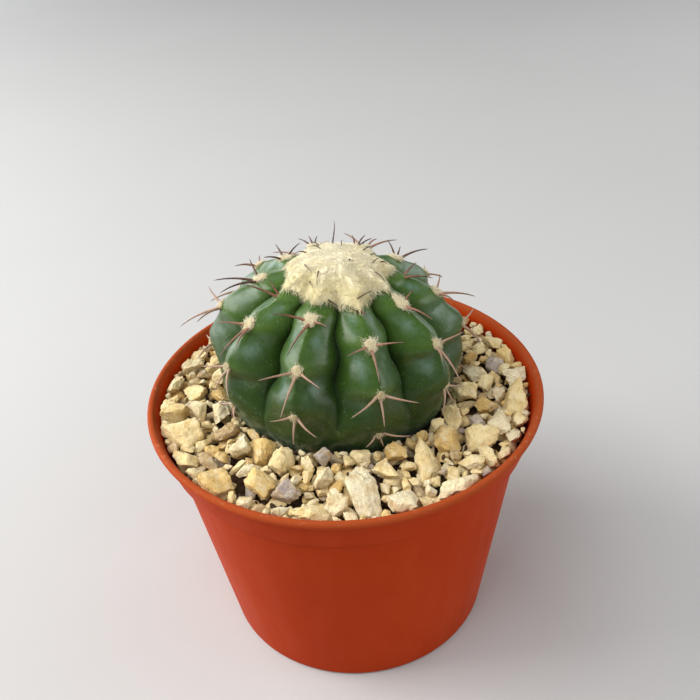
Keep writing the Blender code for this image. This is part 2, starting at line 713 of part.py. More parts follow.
def stone_places(draw, thorns):
    """Place, half-lengths, turn and tilt of each stone: the landmarks first, then the rest as they fit."""
    laid = []
    for x, y, length, width, height, turn in LANDMARK_STONES:
        laid.append((x, y, (length + width) / 2))
        halves = (length, width, height)
        place = inside_pot(Vector((x, y, gravel_level(x, y) - 0.55 * height)), halves)
        yield under_spines(place, halves, thorns), halves, math.radians(turn), draw.uniform(-0.2, 0.2)
    middle = stem_frame().translation
    tries = 0
    while len(laid) < STONE_COUNT and tries < 20000:
        tries += 1
        size = draw.uniform(*STONE_SIZES)
        angle = draw.uniform(0, math.tau)
        wall = inner_radius(POT_HEIGHT - GRAVEL_DROP_AT_WALL) - size
        distance = wall * math.sqrt(draw.uniform(0.3, 1))
        x, y = distance * math.cos(angle), distance * math.sin(angle)
        if math.hypot(x - middle.x, y - middle.y) < 0.0298 + 0.75 * size:
            continue
        if any(math.hypot(x - other[0], y - other[1]) < STONE_SPACING * (size + other[2]) for other in laid):
            continue
        laid.append((x, y, size))
        halves = (size * draw.uniform(0.95, 1.2), size * draw.uniform(0.8, 1), size * draw.uniform(0.6, 0.85))
        level = gravel_level(x, y) - BED_BELOW_STONES + halves[2] * draw.uniform(0.1, 0.45)
        place = Vector((x, y, level))
        turn = draw.uniform(0, math.tau)
        tilt = draw.uniform(-0.4, 0.4)
        yield under_spines(inside_pot(place, halves), halves, thorns), halves, turn, tilt


def bed_shape():
    """The ring of gravel under the top stones, from the compost up."""
    bottom = POT_HEIGHT - COMPOST_DROP + GAP
    rings = 6
    outline = [(0, bottom)]
    outline.append((inner_radius(bottom) - 0.0014, bottom))
    outline.append((inner_radius(bottom + 0.0021) - GAP, bottom + 0.0021))
    wall = inner_radius(POT_HEIGHT - GRAVEL_DROP_AT_WALL - BED_BELOW_STONES) - GAP
    for step in range(rings):
        radius = wall - (wall - 0.024) * step / (rings - 1)
        outline.append((radius, gravel_level(radius, 0) - BED_BELOW_STONES))
    outline.append((0, gravel_level(0, 0) - BED_BELOW_STONES))
    return turned(outline)


def make_gravel(stone):
    """The gravel dressing: its bed and the chippings on it, with a hole round the stem."""
    draw = random.Random(SEED + 3)
    thorns = [point for points in spine_fans() for point in [*points[1:], (points[1] + points[2]) / 2]]
    gravel = new_object("gravel", bed_shape(), stone)
    pieces = []
    for number, (place, halves, turn, tilt) in enumerate(stone_places(draw, thorns)):
        pieces.append(new_object(f"stone_{number}", stone_shape(draw, place, halves, turn, tilt), stone))
    boolean(gravel, "UNION", pieces)
    boolean(gravel, "DIFFERENCE", [new_object("stem_space", stem_space(), stone)])
    drop_scraps(gravel)
    return gravel


def main():
    clear_scene()
    plastic = new_material("pot_plastic", (0.46, 0.09, 0.035), 0.45)
    skin = new_material("stem_skin", (0.035, 0.13, 0.03), 0.35)
    spine_colour = new_material("spine_horn", (0.42, 0.22, 0.15), 0.55)
    wool = new_material("wool", (0.84, 0.76, 0.52), 0.95)
    stone = new_material("stone", (0.72, 0.61, 0.38), 0.85)
    soil = new_material("compost_soil", (0.05, 0.03, 0.02), 0.95)
    make_pot(plastic)
    make_compost(soil)
    make_gravel(stone)
    make_stem(skin, spine_colour, wool)
    make_wool_cap(wool, spine_colour)


main()
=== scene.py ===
"""The looks of a woolly-crowned globe cactus in a plastic nursery pot, dressed with stone chippings.

Metres, +Z up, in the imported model's frame: the origin is the middle of the pot's underside and -Y is
the front. Each piece follows the same rules as the solid that it stands for, with a finer mesh.
"""
import json
import math
import random

import bmesh
import bpy
import numpy as np
from mathutils import Matrix, Vector, noise

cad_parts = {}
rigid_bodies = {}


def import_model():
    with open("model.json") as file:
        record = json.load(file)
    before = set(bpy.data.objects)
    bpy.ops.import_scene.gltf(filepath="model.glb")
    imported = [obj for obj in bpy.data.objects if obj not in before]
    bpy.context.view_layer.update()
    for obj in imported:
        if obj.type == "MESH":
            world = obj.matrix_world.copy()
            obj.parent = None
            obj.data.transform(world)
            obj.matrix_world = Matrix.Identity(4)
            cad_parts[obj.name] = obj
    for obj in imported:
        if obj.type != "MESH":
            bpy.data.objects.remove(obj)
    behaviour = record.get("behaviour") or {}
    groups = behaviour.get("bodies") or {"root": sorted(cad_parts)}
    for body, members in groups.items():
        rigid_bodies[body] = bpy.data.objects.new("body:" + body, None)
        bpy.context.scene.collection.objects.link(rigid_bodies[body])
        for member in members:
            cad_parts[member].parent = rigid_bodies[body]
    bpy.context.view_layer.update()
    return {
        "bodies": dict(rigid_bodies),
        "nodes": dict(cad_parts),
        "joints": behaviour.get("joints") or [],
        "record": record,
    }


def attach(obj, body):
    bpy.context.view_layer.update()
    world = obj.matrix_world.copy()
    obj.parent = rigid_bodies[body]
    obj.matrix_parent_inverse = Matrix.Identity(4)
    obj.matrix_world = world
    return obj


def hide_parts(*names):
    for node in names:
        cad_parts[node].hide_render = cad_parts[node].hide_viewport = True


SEED = 11

# The camera, from the middle of the rim, and how far its aim is off that middle
PHOTO_WIDTH = 700
FOCAL_LENGTH = 899
SENSOR_WIDTH = 36
CAMERA_DISTANCE = 0.2411
CLIP_START = 0.01
CAMERA_ELEVATION = 36.38
AIM_TILT = -2.07
AIM_TURN = -0.52
AIM_ROLL = -4.20

# The pot
RIM_RADIUS = 0.0525
POT_HEIGHT = 0.0733
BASE_RADIUS = 0.0378
WALL = 0.0011
LIP_WIDTH = 0.0018
LIP_HEIGHT = 0.0019
BAND_HEIGHT = 0.0109
BAND_TOP_RADIUS = 0.0516
BAND_FOOT_RADIUS = 0.0491
BODY_TOP_RADIUS = 0.0472
FLOOR_THICKNESS = 0.0024
RECESS_DEPTH = 0.0010
RECESS_INNER_RADIUS = 0.0140
RECESS_OUTER_RADIUS = 0.0310
RECESS_SLOPE = 0.0008
FOOT_HEIGHT = 0.0006
FOOT_WIDTH = 0.0010
DRAIN_HOLES = 8
DRAIN_HOLE_RADIUS = 0.0034
DRAIN_HOLE_SIDES = 32
DRILL_LENGTH = 0.012
POT_SIDES = 160
CORNER_ROUND = 0.0005
POT_EDGE = math.radians(40)

# The stem: half an ellipsoid above its middle and half below, cut into ribs
STEM_MIDDLE = Vector((-0.0010, 0.0055, POT_HEIGHT + 0.0113))
STEM_LEAN = math.radians(3)
STEM_RADIUS = 0.0335
STEM_RISE = 0.0216
STEM_DROP = 0.0320
RIB_AZIMUTHS = (-20, 16, 52, 88, 124, 160, 196, 232, 265, 303)
RIBS = len(RIB_AZIMUTHS)
GROOVE_DEPTH = 0.26
GROOVE_DEPTH_AT_BASE = 0.03
GROOVE_WAVE = 1.6
CHIN_HEIGHT = 0.0005
FURROW_DEPTH = 0.0009
NECK_RADIUS = 0.0070
NECK_SHOULDER = 0.0030
NECK_LENGTH = 0.0150
NECK_TAPER = 0.7
RIB_COLUMNS = 28
STEM_LATITUDE_STEP = 1.2
CREASE_DEPTH = 0.0014
CREASE_WIDTH = 0.05
CREST_ROUNDNESS = 0.1
# Where the flanks are pinched between two areoles, how much it slants towards the groove, and how wide it is
PINCH_PLACE = 0.2
PINCH_SLANT = 0.16
PINCH_WIDTH = 0.2
# Where a rib swells most: this share of the way down from one areole to the next
CHIN_PLACE = 0.85
# Unevenness of the skin: how fine it is, where its pattern starts, and how high it stands
SWELLINGS = ((170, (0, 0, 0), 0.00034), (330, (2, 8, 5), 0.00020), (700, (7, 3, 1), 0.00006))
# Latitudes between which each form or colour of the stem comes in, from nothing to all of it
GROOVE_RANGE = (-22, 18)
GROOVE_WAVE_RANGE = (-25, 5)
GROOVE_SHADE_RANGE = (-25, 5)
FURROW_RANGE = (-25, 0)
CHIN_RANGE = (-30, -5)
CREASE_RANGE = (-20, 12)
CREASE_TOP_RANGE = (86, 66)
CROWN_RANGE = (-25, 65)
SHELF_RANGE = (-10, 20)
BLOOM_AND_HIGHLIGHT_RANGE = (-8, 16)
YOUNG_SPINE_RANGE = (10, 62)
YOUNG_PAD_RANGE = (0, 52)
LOWEST_FINE_LATITUDE = -30
BURIED_LATITUDES = (-36, -42, -48, -54, -60)

# Areoles stand on the crests, in two patterns that take turns round the stem
AREOLE_LATITUDES = ((54, 26, -3.5, -28), (60, 40, 11, -15))
AREOLE_SPACING = 26
# The ribs' swellings follow the areoles, evened out over these degrees along the rib
PHASE_BLEND = np.linspace(-5, 5, 5)
LOWEST_BARE_LATITUDE = -20
PAD_RADIUS = 0.0012
PAD_HEIGHT = 0.00036
PAD_SIDES = 16
# The dome under each: how far out its rings lie and how high, with its foot sunk into the skin
PAD_FOOT = (0.85, -0.0012)
PAD_RINGS = ((0.9, 0.1), (0.8, 0.45), (0.6, 0.8), (0.3, 1.0))
PAD_FIBRES = 210
# Their hairs: how long, the share of long ones, how much longer those are, how far the tips scatter,
# how deep the roots lie, and how far the tips sink
HAIR_LENGTHS = (0.0003, 0.0010)
LONG_HAIR_SHARE = 0.12
LONG_HAIR = 1.8
HAIR_SCATTER = 0.00022
HAIR_ROOT = 0.0002
HAIR_SAG = (-0.0003, 0.0006)
SPINE_RADIUS = 0.00042
SPINE_ROOT = 0.0010
SPINE_SPREAD = 0.0003
SPINE_SIDES = 8
SPINE_STEPS = 10
SPINE_LIFT = 22
SPINE_JITTER = 7
# Each spine's angle off the way down the rib, and its length, where the front shows the fan plainly
SEEN_FANS = {
    (0, 0): ((-75, 0.0096), (64, 0.0070), (-2, 0.0150)),
    (0, 1): ((-65, 0.0094), (69, 0.0088), (-2, 0.0126)),
    (0, 2): ((-86, 0.0058), (74, 0.0078), (5, 0.0070)),
    (1, 1): ((-71, 0.0085), (76, 0.0081), (-10, 0.0120)),
    (1, 2): ((-75, 0.0102), (74, 0.0094), (-6, 0.0077)),
    (1, 3): ((-70, 0.0046), (100, 0.0080), (18, 0.0040)),
    (2, 0): ((98, 0.0052), (-12, 0.0105)),
    (2, 1): ((80, 0.0082), (-24, 0.0115), (-50, 0.0062)),
    (3, 1): ((95, 0.0060), (10, 0.0110), (-70, 0.0075)),
    (4, 0): ((86, 0.0070), (46, 0.0058), (-4, 0.0106)),
    (4, 1): ((60, 0.0050), (-60, 0.0050), (-4, 0.0070)),
    (5, 0): ((-8, 0.0066), (30, 0.0058), (-42, 0.0056)),
    (6, 0): ((-4, 0.0066), (34, 0.0058), (-30, 0.0056)),
    (7, 0): ((-34, 0.0070), (-130, 0.0058), (84, 0.0070)),
    (7, 1): ((82, 0.0076), (10, 0.0062), (-60, 0.0048)),
    (8, 0): ((-74, 0.0080), (60, 0.0140), (2, 0.0118)),
    (9, 1): ((-51, 0.0085), (24, 0.0125), (42, 0.0090)),
    (9, 2): ((-65, 0.0079), (72, 0.0110), (8, 0.0072)),
}
# Spines of the topmost areoles that the wool covers, by rib
COVERED_FANS = {
    1: ((14, 0.0040),),
    3: ((56, 0.0062), (-20, 0.0080)),
    9: ((-56, 0.0102), (-100, 0.0054)),
}
# Ribs at the back whose topmost spines are nearly black
DARK_RIBS = (4, 5, 6, 7, 8)
# How much further up the rib the wool of some areoles reaches
PAD_TONGUES = {(2, 0): 0.0021, (7, 0): 0.0012, (8, 0): 0.0006, (4, 0): 0.0008}
SIDE_SPINE_ANGLES = ((-15, 0), (90, 71))
SIDE_SPINE_LENGTHS = ((-15, 0, 12), (0.0060, 0.0074, 0.0093))
LOWER_SPINE_LENGTHS = ((-15, 0, 12, 24), (0.0040, 0.0070, 0.0090, 0.0124))

# The wool cap on the crown
CAP_GROOVE_RADIUS = 0.0116
CAP_LOBES = (0.0022, 0.0044, 0.0030, 0.0030, 0.0016, 0.0004, 0.0012, 0.0006, 0.0016, 0.0028)
CAP_FORWARD = 0.0024
CAP_RISE = 0.0008
CAP_EDGE_THICKNESS = 0.0028
CAP_DEPTH = 0.0010
CAP_TURNS = 240
CAP_SHARES = 46
CAP_SKIRT = 1.30
MARGIN_TUFTS = 190
MARGIN_TUFT_FIBRES = 16
# How far out a tuft of the margin starts, and how long and how high it is beside the others
TUFT_SHARES = (0.84, 1.0)
TUFT_REACH = (0.5, 1.35)
TUFT_RISE = (0.3, 1.4)
TUFT_FIBRE_LENGTHS = (0.0007, 0.0015)
TUFT_ROOT = 0.0005
TUFT_MIDDLES = (0.0002, 0.0009)
TUFT_TIPS = (0.0, 0.0005)
FIBRE_RADIUS = 0.000042
FIBRE_ROOT = 0.0003
# Fibres strewn over the wool: how many, how far out, the lift of their middles and tips, their lengths,
# how far they stray from the way outwards, and in how many steps they curve
FELT_FIBRES = (11000, 0.99, (0.0001, 0.0006), (-0.0002, 0.0002), (0.0009, 0.0024), 0.7, 2)
STRAY_FIBRES = (500, 1, (0.0003, 0.0013), (0.0, 0.0009), (0.0006, 0.0020), 1.6, 3)
# The fibres' swirl over the wool: how fine, and how strong
SWIRL_FINENESS = 3.4
SWIRL_STRENGTH = 2.2
# The wool's lumps: how fine, where their pattern starts, and how high
FELT_LUMPS = ((3.1, (5, 0, 2), 0.0004), (12, (1, 4, 3), 0.00028))
FELT_STREAK_HEIGHT = 0.00028
FELT_INSET = 0.00012
CROWN_FOLD_DEPTH = 0.0005
# How deep in colour the smooth wool is, and how much lighter where it stands a metre higher: painted shade
# that deepens its hollows
FELT_SHADE = 0.20
RELIEF_SHADE = 300
BRISTLE_RADIUS = 0.00026
BRISTLE_ARCH = 0.0012
# Dark bristles: turn round the stem and share of the way out for the root and the tip, and the tip's lift
BRISTLES = (
    (0.030, 0.98, 0.060, 1.02, 0.0008),
    (0.970, 0.59, 0.997, 0.83, 0.0008),
    (0.880, 0.62, 0.945, 0.70, 0.0008),
    (0.955, 0.83, 0.990, 0.86, 0.0006),
    (0.100, 0.89, 0.165, 0.97, 0.0009),
    (0.320, 0.68, 0.290, 0.71, 0.0008),
    (0.290, 0.80, 0.280, 0.92, 0.0009),
    (0.260, 0.74, 0.290, 0.75, 0.0006),
    (0.170, 0.32, 0.140, 0.41, 0.0006),
    (0.100, 1.02, 0.080, 1.00, 0.0007),
    (0.572, 0.80, 0.578, 0.90, 0.0070),
    (0.640, 0.80, 0.655, 0.98, 0.0034),
    (0.440, 0.86, 0.430, 1.02, 0.0034),
    (0.755, 0.72, 0.775, 0.90, 0.0012),
    (0.360, 0.66, 0.385, 0.84, 0.0012),
    (0.500, 0.52, 0.515, 0.74, 0.0010),
    (0.700, 0.45, 0.720, 0.68, 0.0010),
    (0.205, 0.74, 0.195, 0.95, 0.0010),
)

# Compost and gravel
COMPOST_DROP = 0.0125
GRAVEL_DROP_AT_WALL = 0.0016
GRAVEL_DROP_AT_STEM = 0.0014
GRAVEL_SLOPE = 0.0120
BED_BELOW_TOPS = 0.0058
STONE_GRID = 0.0005
# Stones by layer: the half-lengths, how many, and how far over the gravel's level their tops may stand
UNDER_STONES = (0.0020, 0.0032, 400, -0.0014)
TOP_STONES = (0.0025, 0.0042, 190, 0.0016)
MIDDLE_STONES = (0.0016, 0.0026, 240, 0.0006)
CHIPS = (0.0009, 0.0017, 420, -0.0002)
CRUMBS = (0.0004, 0.0010, 220, -0.0012)
# A stone's three half-lengths as shares of its size, and how far it leans
STONE_SHARES = ((1.0, 1.5), (0.75, 1.0), (0.55, 0.9))
STONE_LEAN = 0.8
STONE_SINK = 0.12
STONE_EDGE = math.radians(48)
# How stones are split: planes round them, how near to the middle, how sharp the edges, and the rough waves
SPLITS = (7, 13)
SPLIT_DEPTHS = (0.50, 0.90)
SPLIT_SHARPNESS = 60.0
SPLIT_WAVES = ((0.08, 3.0), (0.09, 7.0), (0.08, 15.0), (0.07, 30.0))
# Kinds of stone: each takes the stones up to this share, with a tint between these two
STONE_TINTS = ((0.20, 0.02, 0.24), (0.72, 0.26, 0.62), (0.90, 0.64, 0.78), (1.0, 0.84, 0.99))
# Laying: tries for each stone, places in each try, how often the wall is tried, and the steps away from it
TRIES = 5
PLACES = 12
WALL_CHANCE = 0.35
WALL_STEPS = [step * 0.0004 for step in range(5)]
# Shares of the way out, squared, between which stones away from the wall are tried
OPEN_PLACES = (0.28, 1)
# How far below the gravel's edge a stone touches the wall that it leans on
LEAN_DROP = 0.0020
# The bed under the stones: its steps, its sides, where its slope ends, its space to the wall above and
# below, and its least height
BED_STEPS = 12
BED_SIDES = 120
BED_SLOPE_END = 0.024
BED_CLEAR = 0.0004
BED_FOOT_CLEAR = 0.0014
BED_LEAST_HEIGHT = 0.0003
# A new piece is begun once the stones in one have more points than this
PIECE_POINTS = 70000
# The space between a piece and its neighbours
GAP = 0.00035

# The stones that catch the eye: place from the pot's axis, half-lengths, turn and tilt in degrees, and tint
LANDMARK_STONES = (
    (0.0026, -0.0412, 0.0040, 0.0080, 0.0030, 4, 22, 0.74),
    (0.0184, -0.0310, 0.0036, 0.0068, 0.0028, 14, 24, 0.40),
    (0.0240, -0.0246, 0.0044, 0.0044, 0.0030, 20, 16, 0.10),
    (-0.0150, -0.0385, 0.0036, 0.0028, 0.0026, 0, 10, 0.97),
    (-0.0242, -0.0415, 0.0052, 0.0040, 0.0030, -25, 20, 0.945),
    (0.0120, -0.0460, 0.0038, 0.0034, 0.0028, 0, 12, 0.72),
    (0.0160, -0.0400, 0.0046, 0.0034, 0.0030, 10, 12, 0.88),
    (-0.0214, -0.0350, 0.0034, 0.0046, 0.0024, 30, 25, 0.15),
    (-0.0198, -0.0205, 0.0034, 0.0040, 0.0034, 15, 28, 0.15),
    (0.0440, -0.0090, 0.0036, 0.0066, 0.0034, -35, 20, 0.30),
    (0.0325, -0.0245, 0.0044, 0.0044, 0.0032, 0, 22, 0.40),
    (0.0385, -0.0275, 0.0034, 0.0046, 0.0028, 40, 20, 0.55),
    (-0.0440, -0.0150, 0.0062, 0.0044, 0.0034, -15, 12, 0.35),
    (-0.0330, -0.0345, 0.0044, 0.0044, 0.0036, 0, 10, 0.12),
    (-0.0380, -0.0320, 0.0040, 0.0042, 0.0034, 40, 15, 0.76),
    (-0.0455, -0.0040, 0.0040, 0.0034, 0.0032, 10, 10, 0.28),
    (0.0064, -0.0298, 0.0046, 0.0036, 0.0032, 5, 14, 0.55),
    (0.0110, -0.0272, 0.0030, 0.0026, 0.0026, -20, 10, 0.08),
    (0.0160, -0.0230, 0.0034, 0.0028, 0.0028, 10, 15, 0.06),
    (-0.0166, -0.0275, 0.0034, 0.0038, 0.0030, 10, 15, 0.45),
    (-0.0110, -0.0258, 0.0028, 0.0024, 0.0026, 0, 10, 0.06),
    (-0.0064, -0.0272, 0.0024, 0.0022, 0.0022, 0, 10, 0.95),
    (-0.0250, -0.0200, 0.0028, 0.0034, 0.0026, 0, 15, 0.74),
)
LANDMARK_RISE = 0.0022
LANDMARK_ROCK = 0.15
# How much of a laid stone stays clear of others, and how far below it they have to end
CLEAR_SHARE = 0.85
CLEAR_DEPTH = 0.0005
# How far in or out a stone is moved to find room, the least first
LANDMARK_PULLS = sorted(np.linspace(0.8, 1.2, 81), key=lambda pull: abs(pull - 1))
FLAT_TOP = 0.62

FLOOR_RADIUS = 2
FLOOR_SIDES = 96
SURROUNDINGS_COLOUR = (0.96, 0.97, 1.0, 1)
SURROUNDINGS_STRENGTH = 0.20
# Lights: azimuth, elevation, distance, size, power, colour, and whether they show in what is glossy
LIGHTS = {
    "window_light": (-94, 36, 0.75, 0.46, 4.8, (1.0, 0.985, 0.96), True),
    "left_light": (-112, 10, 0.80, 0.42, 2.2, (0.97, 0.99, 1.0), True),
    "left_back_light": (-142, 11, 1.30, 0.62, 5.2, (0.95, 0.98, 1.0), True),
    "right_light": (78, 18, 0.80, 0.46, 2.0, (0.97, 0.99, 1.0), True),
    "right_back_light": (130, 14, 0.90, 0.46, 1.3, (0.95, 0.98, 1.0), True),
    "sky_light": (-50, 60, 1.60, 1.10, 14.5, (0.97, 0.985, 1.0), False),
    "front_light": (20, 42, 1.00, 0.60, 1.7, (1.0, 0.99, 0.97), False),
}


def ease(start, end, value):
    """0 before start, 1 after end, and a smooth step between."""
    share = min(max((value - start) / (end - start), 0), 1)
    return share * share * (3 - 2 * share)


def unit(vectors):
    """The vectors of an array, each made one long."""
    return vectors / np.maximum(np.linalg.norm(vectors, axis=-1, keepdims=True), 1e-12)


def new_object(name, mesh, material):
    """An object of a mesh with its material, in the scene."""
    mesh.materials.append(material)
    made = bpy.data.objects.new(name, mesh)
    bpy.context.scene.collection.objects.link(made)
    return made


def mesh_from(name, points, face_groups, marks=None):
    """A smooth mesh from points and arrays of faces, with one number a point for each mark."""
    mesh = bpy.data.meshes.new(name)
    corners = np.concatenate([group.ravel() for group in face_groups]).astype(np.int32)
    sizes = np.concatenate([np.full(len(group), group.shape[1]) for group in face_groups])
    starts = np.concatenate(([0], np.cumsum(sizes)[:-1])).astype(np.int32)
    mesh.vertices.add(len(points))
    mesh.vertices.foreach_set("co", np.asarray(points, np.float32).ravel())
    mesh.loops.add(len(corners))
    mesh.loops.foreach_set("vertex_index", corners)
    mesh.polygons.add(len(sizes))
    mesh.polygons.foreach_set("loop_start", starts)
    for mark, values in (marks or {}).items():
        layer = mesh.attributes.new(mark, "FLOAT", "POINT")
        layer.data.foreach_set("value", np.asarray(values, np.float32))
    mesh.update(calc_edges=True)
    mesh.validate()
    mesh.shade_smooth()
    return mesh


def as_mesh(name, shape):
    """The mesh of a bmesh, which is let go."""
    mesh = bpy.data.meshes.new(name)
    shape.to_mesh(mesh)
    shape.free()
    return mesh


def ring_walls(rings, count, downwards=False):
    """Faces between rings of points that follow each other up, or down, a piece."""
    side = np.arange(count)
    after = (side + 1) % count
    corners = (side, after, count + after, count + side)
    if downwards:
        corners = (side, count + side, count + after, after)
    return np.concatenate([np.stack(corners, axis=1) + ring * count for ring in range(rings - 1)])


def shell_faces(rings, count):
    """Faces of a closed shell: rings of points going down, and then its top point and its bottom point."""
    side = np.arange(count)
    after = (side + 1) % count
    top, bottom, lowest = rings * count, rings * count + 1, (rings - 1) * count
    ends = np.concatenate([
        np.stack([np.full(count, top), side, after], axis=1),
        np.stack([np.full(count, bottom), lowest + after, lowest + side], axis=1),
    ])
    return [ring_walls(rings, count, downwards=True), ends]


def put_on(piece, replaces=None):
    """Fixes a piece to the object and hides the solid that it stands for."""
    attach(piece, "root")
    if replaces:
        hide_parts(replaces)


def add_piece(name, shape, material, replaces=None):
    """A piece of the object, made from its points, face groups and marks."""
    put_on(new_object(name, mesh_from(name, *shape), material), replaces)


def curved_lines(starts, middles, ends, steps):
    """Rows of points along curves that leave starts towards middles and come to ends."""
    share = np.linspace(0, 1, steps + 1)[None, :, None]
    starts, middles, ends = (points[:, None, :] for points in (starts, middles, ends))
    return starts * (1 - share) ** 2 + middles * 2 * share * (1 - share) + ends * share ** 2


def tubes(lines, radii, sides):
    """Points, face groups and lengthwise marks of closed tubes along rows of points that end in a tip."""
    count, steps = lines.shape[0], lines.shape[1] - 1
    ahead = unit(np.gradient(lines, axis=1))
    bend = np.cross(lines[:, steps // 2] - lines[:, 0], lines[:, -1] - lines[:, 0])
    spare = np.cross(ahead[:, 0], np.array((0.3, 0.5, 0.8)))
    straight = np.linalg.norm(bend, axis=1, keepdims=True) < 1e-12
    sideways = np.where(straight, spare, bend)[:, None, :]
    sideways = unit(sideways - ahead * (sideways * ahead).sum(-1, keepdims=True))
    other = np.cross(ahead, sideways)
    turns = math.tau * np.arange(sides) / sides
    spread = (
        sideways[:, :-1, None, :] * np.cos(turns)[None, None, :, None]
        + other[:, :-1, None, :] * np.sin(turns)[None, None, :, None]
    )
    rings = lines[:, :-1, None, :] + spread * radii[:, :-1, None, None]
    size = steps * sides + 1
    points = np.concatenate([rings.reshape(count, -1, 3), lines[:, -1:, :]], axis=1).reshape(-1, 3)
    side = np.arange(sides)
    after = (side + 1) % sides
    last = (steps - 1) * sides
    ends = np.stack([last + side, last + after, np.full(sides, size - 1)], axis=1)
    offsets = (np.arange(count) * size)[:, None, None]
    groups = [
        (ring_walls(steps, sides)[None] + offsets).reshape(-1, 4),
        (ends[None] + offsets).reshape(-1, 3),
        (side[::-1][None, None] + offsets).reshape(-1, sides),
    ]
    along = np.concatenate([np.repeat(np.arange(steps), sides), [steps]]) / steps
    return points, groups, np.tile(along, count)


def joined(parts):
    """Several sets of points, face groups and marks put together as one."""
    points, groups, marks = [], {}, {}
    base = 0
    for part_points, part_groups, part_marks in parts:
        points.append(part_points)
        for group in part_groups:
            groups.setdefault(group.shape[1], []).append(group + base)
        for mark, values in part_marks.items():
            marks.setdefault(mark, []).append(values)
        base += len(part_points)
    faces = [np.concatenate(group) for group in groups.values()]
    return np.concatenate(points), faces, {mark: np.concatenate(values) for mark, values in marks.items()}


def node(tree, kind, inputs=None, **settings):
    """A new node. An input given as a socket is linked, and any other is set."""
    made = tree.nodes.new("ShaderNode" + kind)
    for name, value in settings.items():
        setattr(made, name, value)
    for name, value in (inputs or {}).items():
        if isinstance(value, bpy.types.NodeSocket):
            tree.links.new(value, made.inputs[name])
        else:
            made.inputs[name].default_value = value
    return made


def mixed(tree, share, first, second):
    """The colour between first and second at a share."""
    made = node(tree, "Mix", data_type="RGBA")
    for index, value in ((0, share), (6, first), (7, second)):
        if isinstance(value, bpy.types.NodeSocket):
            tree.links.new(value, made.inputs[index])
        else:
            made.inputs[index].default_value = (*value, 1) if isinstance(value, tuple) else value
    return made.outputs[2]


def ramp(tree, value, *stops):
    """A value turned into a colour by stops of (place, colour)."""
    made = node(tree, "ValToRGB", {"Fac": value})
    while len(made.color_ramp.elements) < len(stops):
        made.color_ramp.elements.new(0.5)
    for element, (place, colour) in zip(made.color_ramp.elements, stops):
        element.position = place
        element.color = (*colour, 1)
    return made.outputs["Color"]


def between(tree, value, low, high, start=0.0, end=1.0):
    """A value brought from low..high to start..end, and held there beyond."""
    made = node(tree, "MapRange", {
        "Value": value, "From Min": low, "From Max": high, "To Min": start, "To Max": end,
    })
    return made.outputs["Result"]


def maths(tree, operation, first, second):
    """The result of an operation on two numbers, each a socket or a value."""
    made = node(tree, "Math", operation=operation)
    for index, value in enumerate((first, second)):
        if isinstance(value, bpy.types.NodeSocket):
            tree.links.new(value, made.inputs[index])
        else:
            made.inputs[index].default_value = value
    return made.outputs[0]


def mark(tree, name):
    """A number that the mesh holds at each point."""
    return node(tree, "Attribute", attribute_name=name, attribute_type="GEOMETRY").outputs["Fac"]


def new_group(name, inputs, outputs):
    """An empty node group with number inputs and outputs, and a Vector input first."""
    group = bpy.data.node_groups.new(name, "ShaderNodeTree")
    group.interface.new_socket("Vector", in_out="INPUT", socket_type="NodeSocketVector")
    for label, value in inputs.items():
        socket = group.interface.new_socket(label, in_out="INPUT", socket_type="NodeSocketFloat")
        socket.default_value = value
    for label in outputs:
        group.interface.new_socket(label, in_out="OUTPUT", socket_type="NodeSocketFloat")
    return group, group.nodes.new("NodeGroupInput").outputs, group.nodes.new("NodeGroupOutput").inputs


def patches_group():
    """Soft irregular patches: 0 outside, 1 inside."""
    group, given, result = new_group("patches", {"Scale": 60.0, "Cover": 0.5, "Softness": 0.1}, ["Mask"])
    cloud = node(group, "TexNoise", {
        "Vector": given["Vector"], "Scale": given["Scale"],
        "Detail": 6.0, "Roughness": 0.6, "Distortion": 0.4,
    })
    edge = maths(group, "SUBTRACT", 1.0, given["Cover"])
    low = maths(group, "SUBTRACT", edge, given["Softness"])
    high = maths(group, "ADD", edge, given["Softness"])
    group.links.new(between(group, cloud.outputs["Fac"], low, high), result["Mask"])
    return group


def specks_group():
    """Small scattered specks: 1 in a speck, 0 outside."""
    group, given, result = new_group("specks", {"Scale": 900.0, "Size": 0.12}, ["Mask"])
    cells = node(group, "TexVoronoi", {
        "Vector": given["Vector"], "Scale": given["Scale"], "Randomness": 1.0,
    })
    half = maths(group, "MULTIPLY", given["Size"], 0.5)
    spot = between(group, cells.outputs["Distance"], given["Size"], half)
    coarser = maths(group, "MULTIPLY", given["Scale"], 0.3)
    chance = node(group, "TexNoise", {"Vector": given["Vector"], "Scale": coarser})
    some = between(group, chance.outputs["Fac"], 0.48, 0.58)
    group.links.new(maths(group, "MULTIPLY", spot, some), result["Mask"])
    return group


def grain_group():
    """The height of a rough surface: coarse lumps with fine grain on them."""
    group, given, result = new_group("grain", {"Scale": 500.0, "Fineness": 5.0}, ["Height"])
    coarse = node(group, "TexNoise", {
        "Vector": given["Vector"], "Scale": given["Scale"], "Detail": 4.0, "Roughness": 0.65,
    })
    fine_scale = maths(group, "MULTIPLY", given["Scale"], given["Fineness"])
    fine = node(group, "TexNoise", {"Vector": given["Vector"], "Scale": fine_scale, "Detail": 3.0})
    part = maths(group, "MULTIPLY", fine.outputs["Fac"], 0.4)
    group.links.new(maths(group, "ADD", coarse.outputs["Fac"], part), result["Height"])
    return group


